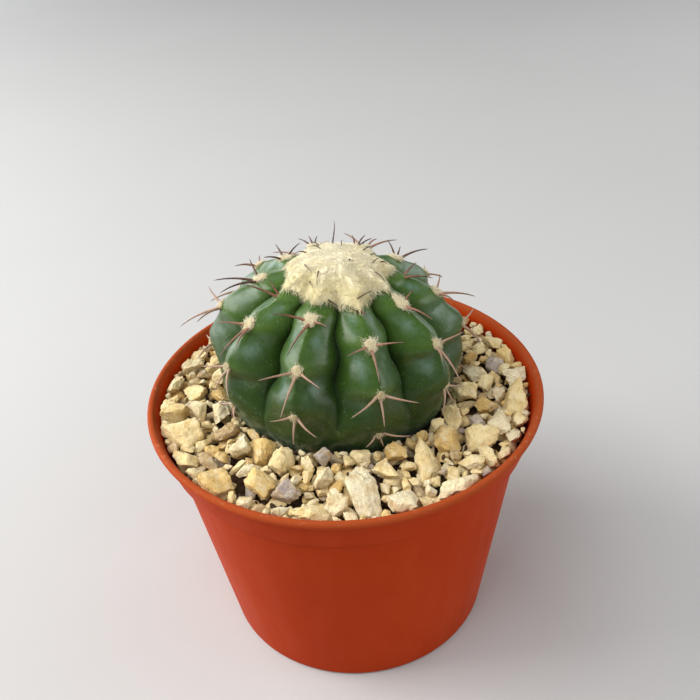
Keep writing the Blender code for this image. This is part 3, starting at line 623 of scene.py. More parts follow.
class Finish:
    """A material being made: its tree, its shader and the colour that it has so far."""

    def __init__(self, name, groups, roughness, viewport_colour):
        self.material = bpy.data.materials.new(name)
        self.material.use_nodes = True
        self.material.diffuse_color = (*viewport_colour, 1)
        self.groups = groups
        self.tree = self.material.node_tree
        self.shader = self.tree.nodes["Principled BSDF"]
        self.place = node(self.tree, "TexCoord").outputs["Object"]
        self.colour = None
        self.fix("Roughness", roughness)

    def fix(self, socket, value):
        """Sets what is the same all over the surface."""
        self.shader.inputs[socket].default_value = value

    def feed(self, socket, source):
        """Links what changes over the surface."""
        self.tree.links.new(source, self.shader.inputs[socket])

    def effect(self, group, stretch=None, **inputs):
        """What a shared group puts out, with this finish's own values and stretch along each axis."""
        made = self.tree.nodes.new("ShaderNodeGroup")
        made.node_tree = self.groups[group]
        place = self.place
        if stretch:
            place = node(self.tree, "Mapping", {"Vector": place, "Scale": stretch}).outputs["Vector"]
        self.tree.links.new(place, made.inputs["Vector"])
        for label, value in inputs.items():
            made.inputs[label].default_value = value
        return made.outputs[0]

    def paint(self, colour, mask, share=None):
        """Lays a colour over the one so far, where the mask says, and no more than the share."""
        if share is not None:
            mask = maths(self.tree, "MULTIPLY", mask, share)
        self.colour = mixed(self.tree, mask, self.colour, colour)

    def roughen(self, strength, distance, **inputs):
        """Gives the surface the shared grain."""
        height = self.effect("grain", **inputs)
        made = node(self.tree, "Bump", {"Height": height, "Strength": strength, "Distance": distance})
        self.feed("Normal", made.outputs["Normal"])

    def done(self):
        """The material, with its colour."""
        self.feed("Base Color", self.colour)
        return self.material


def pot_finish(groups):
    """Satin orange-red plastic with painted shade darkening its lip, scuffed along the lip and dusty in its
    fine scratches.
    """
    made = Finish("pot_plastic", groups, 0.4, (0.46, 0.08, 0.03))
    tree = made.tree
    clouds = made.effect("patches", Scale=32.0, Cover=0.5, Softness=0.2)
    made.colour = mixed(tree, clouds, (0.435, 0.038, 0.0035), (0.475, 0.046, 0.005))
    rubbed = made.effect("patches", (1, 1, 0.08), Scale=210.0, Cover=0.42, Softness=0.2)
    made.paint((0.34, 0.025, 0.003), rubbed, 0.18)
    made.paint((0.55, 0.18, 0.08), made.effect("specks", Scale=1400.0, Size=0.13), 0.2)
    height = node(tree, "SeparateXYZ", {"Vector": made.place}).outputs["Z"]
    # Painted shade: the top of the pot, its lip, is painted darker.
    lip = between(tree, height, POT_HEIGHT - 0.0022, POT_HEIGHT - 0.0004)
    made.paint((0.36, 0.068, 0.019), lip, 0.9)
    scuffs = made.effect("patches", (1, 1, 3), Scale=620.0, Cover=0.36, Softness=0.05)
    made.paint((0.50, 0.22, 0.12), maths(tree, "MULTIPLY", lip, scuffs), 0.4)
    made.feed("Roughness", between(tree, rubbed, 0, 1, 0.42, 0.54))
    made.fix("Specular IOR Level", 0.022)
    made.roughen(0.25, 0.00006, Scale=700.0, Fineness=4.0)
    return made.done()


def compost_finish(groups):
    """Dark damp compost, crumbly and flecked with fibre."""
    made = Finish("compost_soil", groups, 0.95, (0.06, 0.035, 0.02))
    clods = made.effect("patches", Scale=420.0, Cover=0.5, Softness=0.12)
    made.colour = mixed(made.tree, clods, (0.030, 0.017, 0.010), (0.105, 0.062, 0.034))
    made.paint((0.36, 0.25, 0.14), made.effect("specks", Scale=800.0, Size=0.25), 0.6)
    made.roughen(1.0, 0.0006, Scale=600.0, Fineness=4.0)
    return made.done()


def stone_finish(groups):
    """Pale limestone chippings, from chalk white through cream to ochre, with a few grey ones."""
    made = Finish("stone_chippings", groups, 0.9, (0.78, 0.66, 0.42))
    made.colour = ramp(
        made.tree, mark(made.tree, "tint"),
        (0.0, (0.60, 0.38, 0.13)), (0.14, (0.78, 0.55, 0.22)), (0.30, (0.86, 0.68, 0.34)),
        (0.55, (0.87, 0.72, 0.41)), (0.75, (0.86, 0.76, 0.52)), (0.84, (0.60, 0.43, 0.24)),
        (0.90, (0.42, 0.31, 0.18)), (0.94, (0.52, 0.45, 0.38)), (0.98, (0.32, 0.26, 0.25)),
    )
    made.paint((0.56, 0.34, 0.10), made.effect("patches", Scale=260.0, Cover=0.46, Softness=0.1), 0.52)
    chalk = made.effect("patches", (1.3, 1.1, 1.2), Scale=340.0, Cover=0.42, Softness=0.1)
    made.paint((0.92, 0.85, 0.64), chalk, 0.4)
    mottle = made.effect("patches", (1.1, 0.9, 1.3), Scale=900.0, Cover=0.40, Softness=0.07)
    made.paint((0.46, 0.30, 0.12), mottle, 0.44)
    made.paint((0.22, 0.15, 0.08), made.effect("specks", Scale=1500.0, Size=0.22), 0.6)
    made.fix("Specular IOR Level", 0.25)
    made.roughen(1.0, 0.00065, Scale=650.0, Fineness=3.5)
    return made.done()


def skin_finish(groups):
    """Waxy green skin, paler near the crown, with painted shade in the grooves, painted highlights on waxy
    patches, fine dots and a few old scars.
    """
    made = Finish("stem_skin", groups, 0.34, (0.035, 0.13, 0.03))
    tree = made.tree
    groove, crown, shelf, bloom_and_highlight = (mark(tree, name) for name in ("groove", "crown", "shelf", "bloom_and_highlight"))
    made.colour = mixed(tree, crown, (0.014, 0.037, 0.0040), (0.060, 0.128, 0.012))
    made.paint((0.040, 0.090, 0.011), made.effect("patches", Scale=150.0, Cover=0.5, Softness=0.16), 0.45)
    made.paint((0.011, 0.032, 0.005), made.effect("patches", Scale=620.0, Cover=0.46, Softness=0.14), 0.28)
    made.paint((0.105, 0.185, 0.030), shelf, 0.6)
    # Painted shade: the grooves are painted darker, most towards their bottom.
    made.paint((0.009, 0.026, 0.004), between(tree, groove, 0.30, 1.0, 0.0, 0.6))
    # Waxy bloom and painted highlights: pale bluish patches on the flanks between the areoles.
    bloom_and_highlight_film = made.effect("patches", (1, 1, 0.8), Scale=300.0, Cover=0.52, Softness=0.14)
    made.paint((0.15, 0.24, 0.19), maths(tree, "MULTIPLY", bloom_and_highlight, bloom_and_highlight_film), 0.7)
    made.paint((0.20, 0.29, 0.13), made.effect("specks", Scale=1300.0, Size=0.22), 0.5)
    scars = made.effect("patches", Scale=230.0, Cover=0.31, Softness=0.05)
    scarred = maths(tree, "MULTIPLY", scars, between(tree, crown, 0.40, 0.1))
    scarred = maths(tree, "MULTIPLY", scarred, 0.5)
    made.paint((0.19, 0.24, 0.12), scarred)
    wax = made.effect("patches", (1, 1.2, 0.8), Scale=260.0, Cover=0.5, Softness=0.22)
    made.feed("Roughness", between(tree, maths(tree, "ADD", wax, scarred), 0, 1.3, 0.22, 0.44))
    made.fix("Specular IOR Level", 0.42)
    made.fix("Sheen Weight", 0.10)
    made.fix("Sheen Roughness", 0.45)
    made.fix("Sheen Tint", (0.72, 1.0, 0.74, 1))
    made.roughen(0.5, 0.00014, Scale=420.0, Fineness=5.0)
    return made.done()


def spine_finish(groups):
    """Horn: pinkish tan, dark at the tips of young spines and grey on old ones."""
    made = Finish("spine_horn", groups, 0.5, (0.42, 0.22, 0.15))
    tree = made.tree
    along, age, dark = (mark(tree, name) for name in ("along", "age", "dark"))
    young = ramp(
        tree, along, (0.0, (0.42, 0.24, 0.13)), (0.2, (0.30, 0.115, 0.062)),
        (0.6, (0.17, 0.065, 0.038)), (1.0, (0.022, 0.014, 0.012)),
    )
    old = ramp(
        tree, along, (0.0, (0.46, 0.33, 0.22)), (0.5, (0.40, 0.245, 0.165)), (1.0, (0.30, 0.20, 0.155)),
    )
    made.colour = mixed(tree, age, young, old)
    made.paint((0.018, 0.012, 0.010), dark)
    rings = node(tree, "TexNoise", {"Vector": made.place, "Scale": 1600.0, "Detail": 3.0})
    made.paint((0.50, 0.33, 0.23), between(tree, rings.outputs["Fac"], 0.45, 0.7, 0.0, 0.3))
    made.roughen(0.5, 0.00008, Scale=1500.0, Fineness=3.0)
    return made.done()


def wool_finish(groups):
    """Matt cream wool, deeper yellow at the roots of the fibres, along its streaks and round its skirt, and
    with painted shade in its hollows and fold.
    """
    made = Finish("wool", groups, 0.95, (0.84, 0.76, 0.52))
    tree = made.tree
    along, depth, soiled = (mark(tree, name) for name in ("along", "depth", "soiled"))
    made.colour = mixed(tree, between(tree, along, 0.0, 0.5), (0.91, 0.82, 0.54), (0.94, 0.87, 0.66))
    # Deeper yellow: the wool's own streaks and skirt, and painted shade in its hollows and fold.
    made.paint((0.87, 0.75, 0.36), depth, 0.7)
    made.paint((0.97, 0.93, 0.77), made.effect("patches", Scale=300.0, Cover=0.5, Softness=0.15), 0.35)
    made.paint((0.47, 0.37, 0.18), soiled)
    made.fix("Specular IOR Level", 0.15)
    made.fix("Sheen Weight", 0.25)
    return made.done()


def floor_finish(groups):
    """Pale matt paint."""
    made = Finish("floor_paint", groups, 0.9, (0.8, 0.79, 0.77))
    clouds = made.effect("patches", Scale=6.0, Cover=0.5, Softness=0.3)
    made.colour = mixed(made.tree, clouds, (0.50, 0.495, 0.485), (0.525, 0.52, 0.51))
    return made.done()


def pot_body_radius(height):
    """Outer radius of the tapering body at a height over the pot's underside."""
    return BASE_RADIUS + (BODY_TOP_RADIUS - BASE_RADIUS) * height / (POT_HEIGHT - BAND_HEIGHT)


def pot_band_radius(drop):
    """Outer radius of the band under the lip, this far below the rim."""
    return BAND_TOP_RADIUS + (BAND_FOOT_RADIUS - BAND_TOP_RADIUS) * drop / BAND_HEIGHT


def inner_radius(height):
    """Radius of the pot's inside at a height, or at each of an array of heights."""
    drop = POT_HEIGHT - height
    return np.where(drop < BAND_HEIGHT, pot_band_radius(drop), pot_body_radius(height)) - WALL


def turned(outline, sides):
    """A bmesh turned round the pot's axis from an outline that starts and ends on that axis."""
    shape = bmesh.new()
    corners = [shape.verts.new((radius, 0, height)) for radius, height in outline]
    edges = [shape.edges.new(pair) for pair in zip(corners, corners[1:])]
    bmesh.ops.spin(
        shape, geom=corners + edges, cent=(0, 0, 0), axis=(0, 0, 1),
        angle=math.tau, steps=sides, use_merge=True,
    )
    bmesh.ops.remove_doubles(shape, verts=shape.verts, dist=1e-6)
    bmesh.ops.recalc_face_normals(shape, faces=shape.faces)
    return shape


def rounded(outline, radius, steps=4):
    """The outline with each corner off the axis replaced by a few points of a curve."""
    made = [outline[0]]
    for before, corner, after in zip(outline, outline[1:], outline[2:]):
        before, corner, after = Vector(before), Vector(corner), Vector(after)
        reach_in = min(radius, 0.45 * (before - corner).length)
        reach_out = min(radius, 0.45 * (after - corner).length)
        start = corner + (before - corner).normalized() * reach_in
        end = corner + (after - corner).normalized() * reach_out
        for step in range(steps + 1):
            share = step / steps
            bent = start * (1 - share) ** 2 + corner * 2 * share * (1 - share) + end * share ** 2
            made.append(tuple(bent))
    made.append(outline[-1])
    return made


def make_pot(plastic):
    """The pot with its bead lip, its band, its recessed base and the drain holes."""
    rim = POT_HEIGHT
    step = rim - BAND_HEIGHT
    shoulder = 0.0009
    edge = 0.0004
    outline = [
        (0, FLOOR_THICKNESS),
        (inner_radius(FLOOR_THICKNESS) - edge, FLOOR_THICKNESS),
        (inner_radius(step - shoulder), step - shoulder),
        (pot_band_radius(BAND_HEIGHT) - WALL, step + shoulder),
        (pot_band_radius(LIP_HEIGHT) - WALL, rim - LIP_HEIGHT),
        (RIM_RADIUS - LIP_WIDTH, rim - edge),
        (RIM_RADIUS - LIP_WIDTH + edge, rim),
        (RIM_RADIUS - 0.0005, rim),
        (RIM_RADIUS, rim - 0.0006),
        (RIM_RADIUS, rim - LIP_HEIGHT + edge),
        (RIM_RADIUS - edge, rim - LIP_HEIGHT),
        (pot_band_radius(LIP_HEIGHT), rim - LIP_HEIGHT - edge),
        (BAND_FOOT_RADIUS, step + edge),
        (BAND_FOOT_RADIUS - 0.0005, step),
        (BODY_TOP_RADIUS, step - 0.0003),
        (pot_body_radius(FOOT_HEIGHT), FOOT_HEIGHT),
        (BASE_RADIUS - FOOT_WIDTH, 0),
        (RECESS_OUTER_RADIUS, 0),
        (RECESS_OUTER_RADIUS - RECESS_SLOPE, RECESS_DEPTH),
        (RECESS_INNER_RADIUS + RECESS_SLOPE, RECESS_DEPTH),
        (RECESS_INNER_RADIUS, 0),
        (0, 0),
    ]
    shape = turned(rounded(outline, CORNER_ROUND), POT_SIDES)
    pot = new_object("pot_shell", as_mesh("pot_shell", shape), plastic)
    ring = (RECESS_INNER_RADIUS + RECESS_OUTER_RADIUS) / 2
    drills = bmesh.new()
    for number in range(DRAIN_HOLES):
        turn = math.tau * (number + 0.5) / DRAIN_HOLES
        bmesh.ops.create_cone(
            drills, segments=DRAIN_HOLE_SIDES, cap_ends=True, depth=DRILL_LENGTH,
            radius1=DRAIN_HOLE_RADIUS, radius2=DRAIN_HOLE_RADIUS,
            matrix=Matrix.Translation((ring * math.cos(turn), ring * math.sin(turn), 0)),
        )
    drill = new_object("drills", as_mesh("drills", drills), plastic)
    cut = pot.modifiers.new("Holes", "BOOLEAN")
    cut.operation = "DIFFERENCE"
    cut.object = drill
    cut.solver = "EXACT"
    bpy.context.view_layer.update()
    drilled = bpy.data.meshes.new_from_object(pot.evaluated_get(bpy.context.evaluated_depsgraph_get()))
    pot.modifiers.clear()
    pot.data = drilled
    bpy.data.objects.remove(drill, do_unlink=True)
    drilled.shade_smooth()
    drilled.set_sharp_from_angle(angle=POT_EDGE)
    put_on(pot, "pot")


def areole_phase(rib, latitude):
    """How many areoles of this rib lie above the latitude, with the fraction to the next one."""
    rows = AREOLE_LATITUDES[rib % 2]
    above = [rows[0] + AREOLE_SPACING, *rows, rows[-1] - AREOLE_SPACING]
    counts = np.arange(-1, len(rows) + 1)
    return float(np.interp(PHASE_BLEND - latitude, [-row for row in above], counts).mean())


def stem_point(rib, across, latitude):
    """A point of the skin, in the stem's frame.

    across runs from 0 on this rib's crest to 1 on the next one's, with the groove at one half.
    """
    after = (rib + 1) % RIBS
    left = RIB_AZIMUTHS[rib]
    right = left + (RIB_AZIMUTHS[after] - left) % 360
    wave = math.cos(math.tau * (areole_phase(rib, latitude) - 0.1)) * ease(*GROOVE_WAVE_RANGE, latitude)
    groove = (left + right) / 2 + GROOVE_WAVE * wave
    if across < 0.5:
        azimuth = left + (groove - left) * 2 * across
        phase = areole_phase(rib, latitude)
    else:
        azimuth = right - (right - groove) * 2 * (1 - across)
        phase = areole_phase(after, latitude)
    away = 1 - abs(1 - 2 * across)
    ridge = CREST_ROUNDNESS
    slant = (math.hypot(away, ridge) - ridge) / (math.hypot(1, ridge) - ridge)
    flank = 0.5 * slant + 0.5 * away ** 2
    depth = GROOVE_DEPTH_AT_BASE + GROOVE_DEPTH * ease(*GROOVE_RANGE, latitude)
    angle = math.radians(latitude)
    radius = STEM_RADIUS * math.cos(angle) * (1 - depth * flank)
    turn = phase - math.floor(phase)
    pinch = math.exp(-(((turn + PINCH_PLACE - PINCH_SLANT * away) % 1 - 0.5) / PINCH_WIDTH) ** 2)
    side = math.sin(math.pi * min(1.1 * away, 1))
    radius -= FURROW_DEPTH * pinch * (side * ease(*FURROW_RANGE, latitude) + 0.15 * (1 - away))
    chin = math.cos(math.tau * (turn - CHIN_PLACE))
    radius += CHIN_HEIGHT * chin * (1 - away) * ease(*CHIN_RANGE, latitude)
    height = (STEM_RISE if latitude > 0 else STEM_DROP) * math.sin(angle)
    around = math.radians(azimuth)
    return Vector((radius * math.sin(around), -radius * math.cos(around), height))


def stem_normal(rib, across, latitude):
    """The outward normal of the smooth ellipsoid under a point of the skin."""
    point = stem_point(rib, across, latitude)
    rise = STEM_RISE if latitude > 0 else STEM_DROP
    return Vector((point.x / STEM_RADIUS ** 2, point.y / STEM_RADIUS ** 2, point.z / rise ** 2)).normalized()


def stem_frame():
    """Places points of the stem's frame in the pot's."""
    return Matrix.Translation(STEM_MIDDLE) @ Matrix.Rotation(STEM_LEAN, 4, "Y")


def unevenness(spot, layers):
    """How far noise lifts a surface at a spot, in layers of fineness, start of the pattern, and height."""
    return sum(noise.noise(spot * fineness + Vector(start)) * height for fineness, start, height in layers)


def skin_point(rib, across, latitude):
    """The stem's point with the finer forms of its skin: a crease between ribs, and uneven swellings."""
    point = stem_point(rib, across, latitude)
    away = 1 - abs(1 - 2 * across)
    crease = CREASE_DEPTH * math.exp((away - 1) / CREASE_WIDTH)
    crease *= ease(*CREASE_RANGE, latitude) * ease(*CREASE_TOP_RANGE, latitude)
    point.xy *= 1 - crease / max(point.xy.length, crease)
    return point + point.normalized() * unevenness(point, SWELLINGS)


def rib_places():
    """Places from one crest to the next, closer together at the crest and at the groove."""
    even = np.arange(RIB_COLUMNS) / RIB_COLUMNS
    return even - 0.7 * np.sin(2 * math.tau * even) / (2 * math.tau)


def make_stem(skin):
    """The ribbed skin down to the root neck, closed at both ends. Gives back its points."""
    columns = [(rib, float(across)) for rib in range(RIBS) for across in rib_places()]
    latitudes = [*np.arange(84, LOWEST_FINE_LATITUDE, -STEM_LATITUDE_STEP), *BURIED_LATITUDES]
    rings, groove, crown, shelf, bloom_and_highlight = [], [], [], [], []
    for latitude in latitudes:
        for rib, across in columns:
            rings.append(skin_point(rib, across, latitude))
            away = 1 - abs(1 - 2 * across)
            near = rib if across < 0.5 else (rib + 1) % RIBS
            turn = areole_phase(near, latitude) % 1
            # How far into a groove a point lies, for the painted shade in the grooves.
            groove.append(away ** 2.5 * ease(*GROOVE_SHADE_RANGE, latitude))
            crown.append(ease(*CROWN_RANGE, latitude))
            beside = ease(0.25, 0.0, min(turn, 1 - turn))
            shelf.append((1 - away) ** 2 * beside * ease(*SHELF_RANGE, latitude))
            # Where the pale waxy patches lie on the flanks: partly bloom, partly painted highlight.
            spot = math.exp(-((turn - 0.5) / 0.25) ** 2 - ((away - 0.4) / 0.22) ** 2)
            bloom_and_highlight.append(spot * ease(*BLOOM_AND_HIGHLIGHT_RANGE, latitude))
    last = stem_point(0, 0, latitudes[-1]).z
    count = len(columns)
    for radius, drop in ((NECK_RADIUS, NECK_SHOULDER), (NECK_TAPER * NECK_RADIUS, NECK_LENGTH)):
        for point in rings[-count:]:
            spot = point.xy.normalized() * radius
            rings.append(Vector((spot.x, spot.y, last - drop)))
    rings += [Vector((0, 0, STEM_RISE)), Vector((0, 0, rings[-1].z))]
    faces = shell_faces((len(rings) - 2) // count, count)
    place = stem_frame()
    points = np.array([place @ point for point in rings])
    short = len(points) - len(groove)
    marks = {
        name: values + [0] * short
        for name, values in (("groove", groove), ("crown", crown), ("shelf", shelf), ("bloom_and_highlight", bloom_and_highlight))
    }
    add_piece("stem_skin", (points, faces, marks), skin, "cactus_stem")
    return points


def areole_axes(rib, latitude):
    """The areole's place, its outward direction, and the ways down the rib and across it."""
    place = stem_point(rib, 0, latitude)
    outward = stem_normal(rib, 0, latitude)
    azimuth = math.radians(RIB_AZIMUTHS[rib])
    across = Vector((math.cos(azimuth), math.sin(azimuth), 0))
    down = across.cross(outward).normalized()
    if down.z > 0:
        down.negate()
    turn = stem_frame()
    spin = turn.to_3x3()
    return turn @ place, spin @ outward, spin @ down, spin @ across


def stem_areoles():
    """Rib, row and latitude of each areole that stands clear of the wool cap and of the gravel."""
    for rib in range(RIBS):
        for row, latitude in enumerate(AREOLE_LATITUDES[rib % 2]):
            covered = rib in COVERED_FANS and row == 0
            if latitude > LOWEST_BARE_LATITUDE and not covered:
                yield rib, row, latitude


def spine_points(rib, latitude, angle, length):
    """The middle line of a spine, from inside its areole to its tip, curved down towards the skin."""
    place, outward, down, across = areole_axes(rib, latitude)
    turn = math.radians(angle)
    along = down * math.cos(turn) + across * math.sin(turn)
    rise = math.radians(SPINE_LIFT)
    start = place - outward * SPINE_ROOT + along * SPINE_SPREAD
    middle = place + (along * math.cos(rise) * 0.45 + outward * math.sin(rise) * 0.75) * length
    tip = place + (along * math.cos(rise) + outward * math.sin(rise)) * length
    return curved_lines(*(np.array([spot]) for spot in (start, middle, tip)), SPINE_STEPS)[0]


def spine_fans():
    """Every spine of the stem: its line, how old its areole is, its thickness and how dark it is."""
    draw = random.Random(SEED)
    for rib, row, latitude in stem_areoles():
        sideways = np.interp(latitude, *SIDE_SPINE_ANGLES)
        side_length = np.interp(latitude, *SIDE_SPINE_LENGTHS)
        lower_length = np.interp(latitude, *LOWER_SPINE_LENGTHS)
        age = 1 - ease(*YOUNG_SPINE_RANGE, latitude)
        fan = []
        for angle, length in ((-sideways, side_length), (sideways, side_length), (0, lower_length)):
            angle += draw.uniform(-SPINE_JITTER, SPINE_JITTER)
            fan.append((angle, length * draw.uniform(0.88, 1.1)))
        for angle, length in SEEN_FANS.get((rib, row), fan):
            width = 0.82 + 0.18 * ease(0.004, 0.010, length)
            dark = 0.7 if row == 0 and rib in DARK_RIBS else 0
            yield spine_points(rib, latitude, angle, length), age, width, dark
    for rib, fan in COVERED_FANS.items():
        for angle, length in fan:
            yield spine_points(rib, AREOLE_LATITUDES[rib % 2][0], angle, length), 0, 0.9, 0.3


def make_spines(horn):
    """The curved spines of the stem's areoles. Gives back their middle lines."""
    fans = list(spine_fans())
    lines, ages, widths, darks = (np.array(values) for values in zip(*fans))
    share = np.linspace(0, 1, SPINE_STEPS + 1)
    profile = (1 - 0.78 * share) * (1 + 0.25 * np.exp(-(share / 0.12) ** 2))
    points, groups, along = tubes(lines, SPINE_RADIUS * np.outer(widths, profile), SPINE_SIDES)
    each = len(points) // len(lines)
    marks = {"along": along, "age": np.repeat(ages, each), "dark": np.repeat(darks, each)}
    add_piece("stem_spines", (points, groups, marks), horn)
    return lines


def pad_spot(down, across, turns, radius, tongue):
    """Where on the skin an areole's wool lies: an oval, drawn out up the rib by a tongue."""
    up = np.maximum(-np.cos(turns), 0)[:, None]
    oval = down * np.cos(turns)[:, None] * 1.2 + across * np.sin(turns)[:, None]
    return oval * radius[:, None] - down * up ** 2 * tongue * (radius / radius.max())[:, None]


def pad_dome(draw, axes, radius, tongue):
    """A low ragged dome under an areole's wool."""
    place, outward, down, across = axes
    turns = math.tau * np.arange(PAD_SIDES) / PAD_SIDES
    rings = []
    for share, height in (PAD_FOOT, *((share, level * PAD_HEIGHT) for share, level in PAD_RINGS)):
        reach = radius * share * draw.uniform(0.82, 1.12, PAD_SIDES)
        spots = pad_spot(down, across, turns, reach, tongue * share)
        rings.append(place + spots + outward * height * draw.uniform(0.85, 1.15, PAD_SIDES)[:, None])
    points = np.concatenate(rings)
    side = np.arange(PAD_SIDES)
    groups = [ring_walls(len(rings), PAD_SIDES), side[::-1][None], (len(points) - PAD_SIDES + side)[None]]
    return points, groups, np.full(len(points), 0.4)


def make_pads(wool):
    """The felted pads of the areoles: low domes under short tangled fibres, woollier near the crown."""
    draw = np.random.default_rng(SEED)
    parts = []
    for rib, row, latitude in stem_areoles():
        axes = [np.array(axis) for axis in areole_axes(rib, latitude)]
        _, outward, down, across = axes
        young = ease(*YOUNG_PAD_RANGE, latitude)
        radius = PAD_RADIUS * (0.8 + 0.75 * young)
        tongue = PAD_TONGUES.get((rib, row), 0)
        dome = pad_dome(draw, axes, radius, tongue)
        count = int(PAD_FIBRES * (0.7 + 1.1 * young))
        turns = draw.uniform(0, math.tau, count)
        ragged = 1 + 0.16 * np.sin(2 * turns + draw.uniform(0, 6))
        ragged = ragged + 0.13 * np.sin(3 * turns + draw.uniform(0, 6))
        reach = np.sqrt(draw.uniform(0, 1, count)) * ragged
        roots = axes[0] + pad_spot(down, across, turns, radius * reach, tongue) - outward * HAIR_ROOT
        tops = roots + outward * (PAD_HEIGHT * (2.2 - 1.2 * reach ** 2))[:, None]
        heading = draw.uniform(0, math.tau, count)
        curl = down * np.cos(heading)[:, None] + across * np.sin(heading)[:, None]
        length = draw.uniform(*HAIR_LENGTHS, count) * (0.8 + 0.5 * young)
        length = np.where(draw.uniform(0, 1, count) < LONG_HAIR_SHARE, LONG_HAIR * length, length)
        tips = tops + curl * length[:, None] + draw.normal(0, HAIR_SCATTER, (count, 3))
        tips -= outward * draw.uniform(*HAIR_SAG, count)[:, None]
        hairs = tubes(curved_lines(roots, tops, tips, 2), np.full((count, 3), FIBRE_RADIUS), 3)
        soil = 0.60 - 0.30 * young
        each = len(hairs[0]) // count
        dirt = np.repeat(np.abs(draw.normal(0, 0.36, count)), each) + soil - 0.42
        for (points, groups, along), soiled in ((dome, np.full(len(dome[0]), soil + 0.4)), (hairs, dirt)):
            parts.append((points, groups, {
                "along": 0.3 + 0.7 * along,
                "depth": np.full(len(points), 0.2),
                "soiled": np.clip(soiled, 0, 1),
            }))
    add_piece("areole_wool", joined(parts), wool)


def cap_reach(rib, across):
    """How far the wool's margin lies from the stem's axis: further out on the ribs and to the front."""
    after = (rib + 1) % RIBS
    azimuth = RIB_AZIMUTHS[rib] + (RIB_AZIMUTHS[after] - RIB_AZIMUTHS[rib]) % 360 * across
    lobe = CAP_LOBES[rib if across < 0.5 else after] * abs(1 - 2 * across) ** 1.3
    return CAP_GROOVE_RADIUS + lobe + CAP_FORWARD * math.cos(math.radians(azimuth))


def crown_latitude(rib, across, radius):
    """The latitude at which the skin is this far from the stem's axis, found by halving."""
    low, high = 20, 90
    for _ in range(20):
        middle = (low + high) / 2
        if stem_point(rib, across, middle).xy.length > radius:
            low = middle
        else:
            high = middle
    return low


def cap_point(turn, share):
    """A point of the wool's top and the skin under it, at a turn round the stem and a share of the way out.

    Past the margin, where the share is over 1, both lie just over the skin.
    """
    rib = int(turn * RIBS) % RIBS
    across = turn * RIBS % 1
    radius = cap_reach(rib, across) * share
    skin = stem_point(rib, across, crown_latitude(rib, across, radius))
    bare = skin.z + GAP + 0.0001
    smooth = STEM_RISE * math.sqrt(1 - (radius / STEM_RADIUS) ** 2)
    inside = min(share, 1)
    wool = CAP_EDGE_THICKNESS * math.sqrt(1 - inside ** 6) + CAP_RISE * (1 - inside ** 2)
    full = smooth + (bare - smooth) * inside ** 8 + wool
    return Vector((skin.x, skin.y, full)), Vector((skin.x, skin.y, bare))


def streaks(azimuth, share, around, outwards):
    """Noise drawn out into streaks that run outwards from the middle of the wool."""
    return noise.noise(Vector((math.sin(azimuth) * around, math.cos(azimuth) * around, share * outwards)))


def felt_relief(azimuth, share):
    """How far the wool stands over its smooth dome: soft lumps, and fine streaks that run outwards."""
    spot = Vector((math.sin(azimuth) * share, -math.cos(azimuth) * share, 0))
    combed = streaks(azimuth, share, 11, 2.2) * FELT_STREAK_HEIGHT
    return (unevenness(spot, FELT_LUMPS) + combed * ease(0.05, 0.5, share)) * ease(1.02, 0.8, share)


def crown_fold(azimuth, share):
    """How deep a place lies in the hollow between the dome and its skirt, at the front."""
    front = 0.5 + 0.5 * math.cos(azimuth - 0.1)
    return math.exp(-((share - 0.82) / 0.16) ** 2) * front ** 4


def wool_streak(azimuth, share):
    """How yellow a lock of the wool is: thin streaks that run outwards from the middle."""
    return max(streaks(azimuth, share, 24, 2.5), 0) * ease(0.1, 0.5, share)


class WoolDome:
    """The wool's top as a grid of points, sampled anywhere with the way straight up from it."""

    def __init__(self):
        frame = stem_frame()
        self.shares = np.linspace(0.004, CAP_SKIRT, CAP_SHARES)
        top, skin, depth = [], [], []
        for turn in range(CAP_TURNS):
            azimuth = math.tau * turn / CAP_TURNS
            for share in self.shares:
                full, bare = cap_point(turn / CAP_TURNS, share)
                fold = crown_fold(azimuth, share)
                relief = felt_relief(azimuth, share) - CROWN_FOLD_DEPTH * fold
                top.append(frame @ (full + Vector((0, 0, relief))))
                skin.append(frame @ bare)
                skirt = 0.5 * ease(0.82, 1.02, share)
                streak = 1.2 * wool_streak(azimuth, share)
                # Painted shade: lower-lying wool and the fold at the front are given a deeper colour.
                hollow = max(FELT_SHADE - RELIEF_SHADE * relief, 0)
                depth.append(min(hollow + 0.8 * fold + skirt + streak, 1))
        self.top, self.skin = (np.array(rows).reshape(CAP_TURNS, CAP_SHARES, 3) for rows in (top, skin))
        self.depth = np.array(depth).reshape(CAP_TURNS, CAP_SHARES, 1)
        outward = np.gradient(self.top, axis=1)
        around = np.roll(self.top, -1, axis=0) - np.roll(self.top, 1, axis=0)
        up = unit(np.cross(outward, around))
        self.up = np.where(up[..., 2:] < 0, -up, up)
        self.outward = unit(outward)

    def sample(self, grid, turns, shares):
        """Values of a grid at turns round the stem and shares of the way out."""
        column = np.mod(turns, 1) * CAP_TURNS
        row = np.clip(np.interp(shares, self.shares, np.arange(CAP_SHARES)), 0, CAP_SHARES - 1.001)
        left, inner = np.floor(column).astype(int) % CAP_TURNS, np.floor(row).astype(int)
        right, outer = (left + 1) % CAP_TURNS, inner + 1
        across, out = (column - np.floor(column))[:, None], (row - inner)[:, None]
        near = grid[left, inner] * (1 - across) + grid[right, inner] * across
        far = grid[left, outer] * (1 - across) + grid[right, outer] * across
        return near * (1 - out) + far * out

    def over(self, turns, shares, lift):
        """Points this far over the wool."""
        return self.sample(self.top, turns, shares) + self.sample(self.up, turns, shares) * lift[:, None]


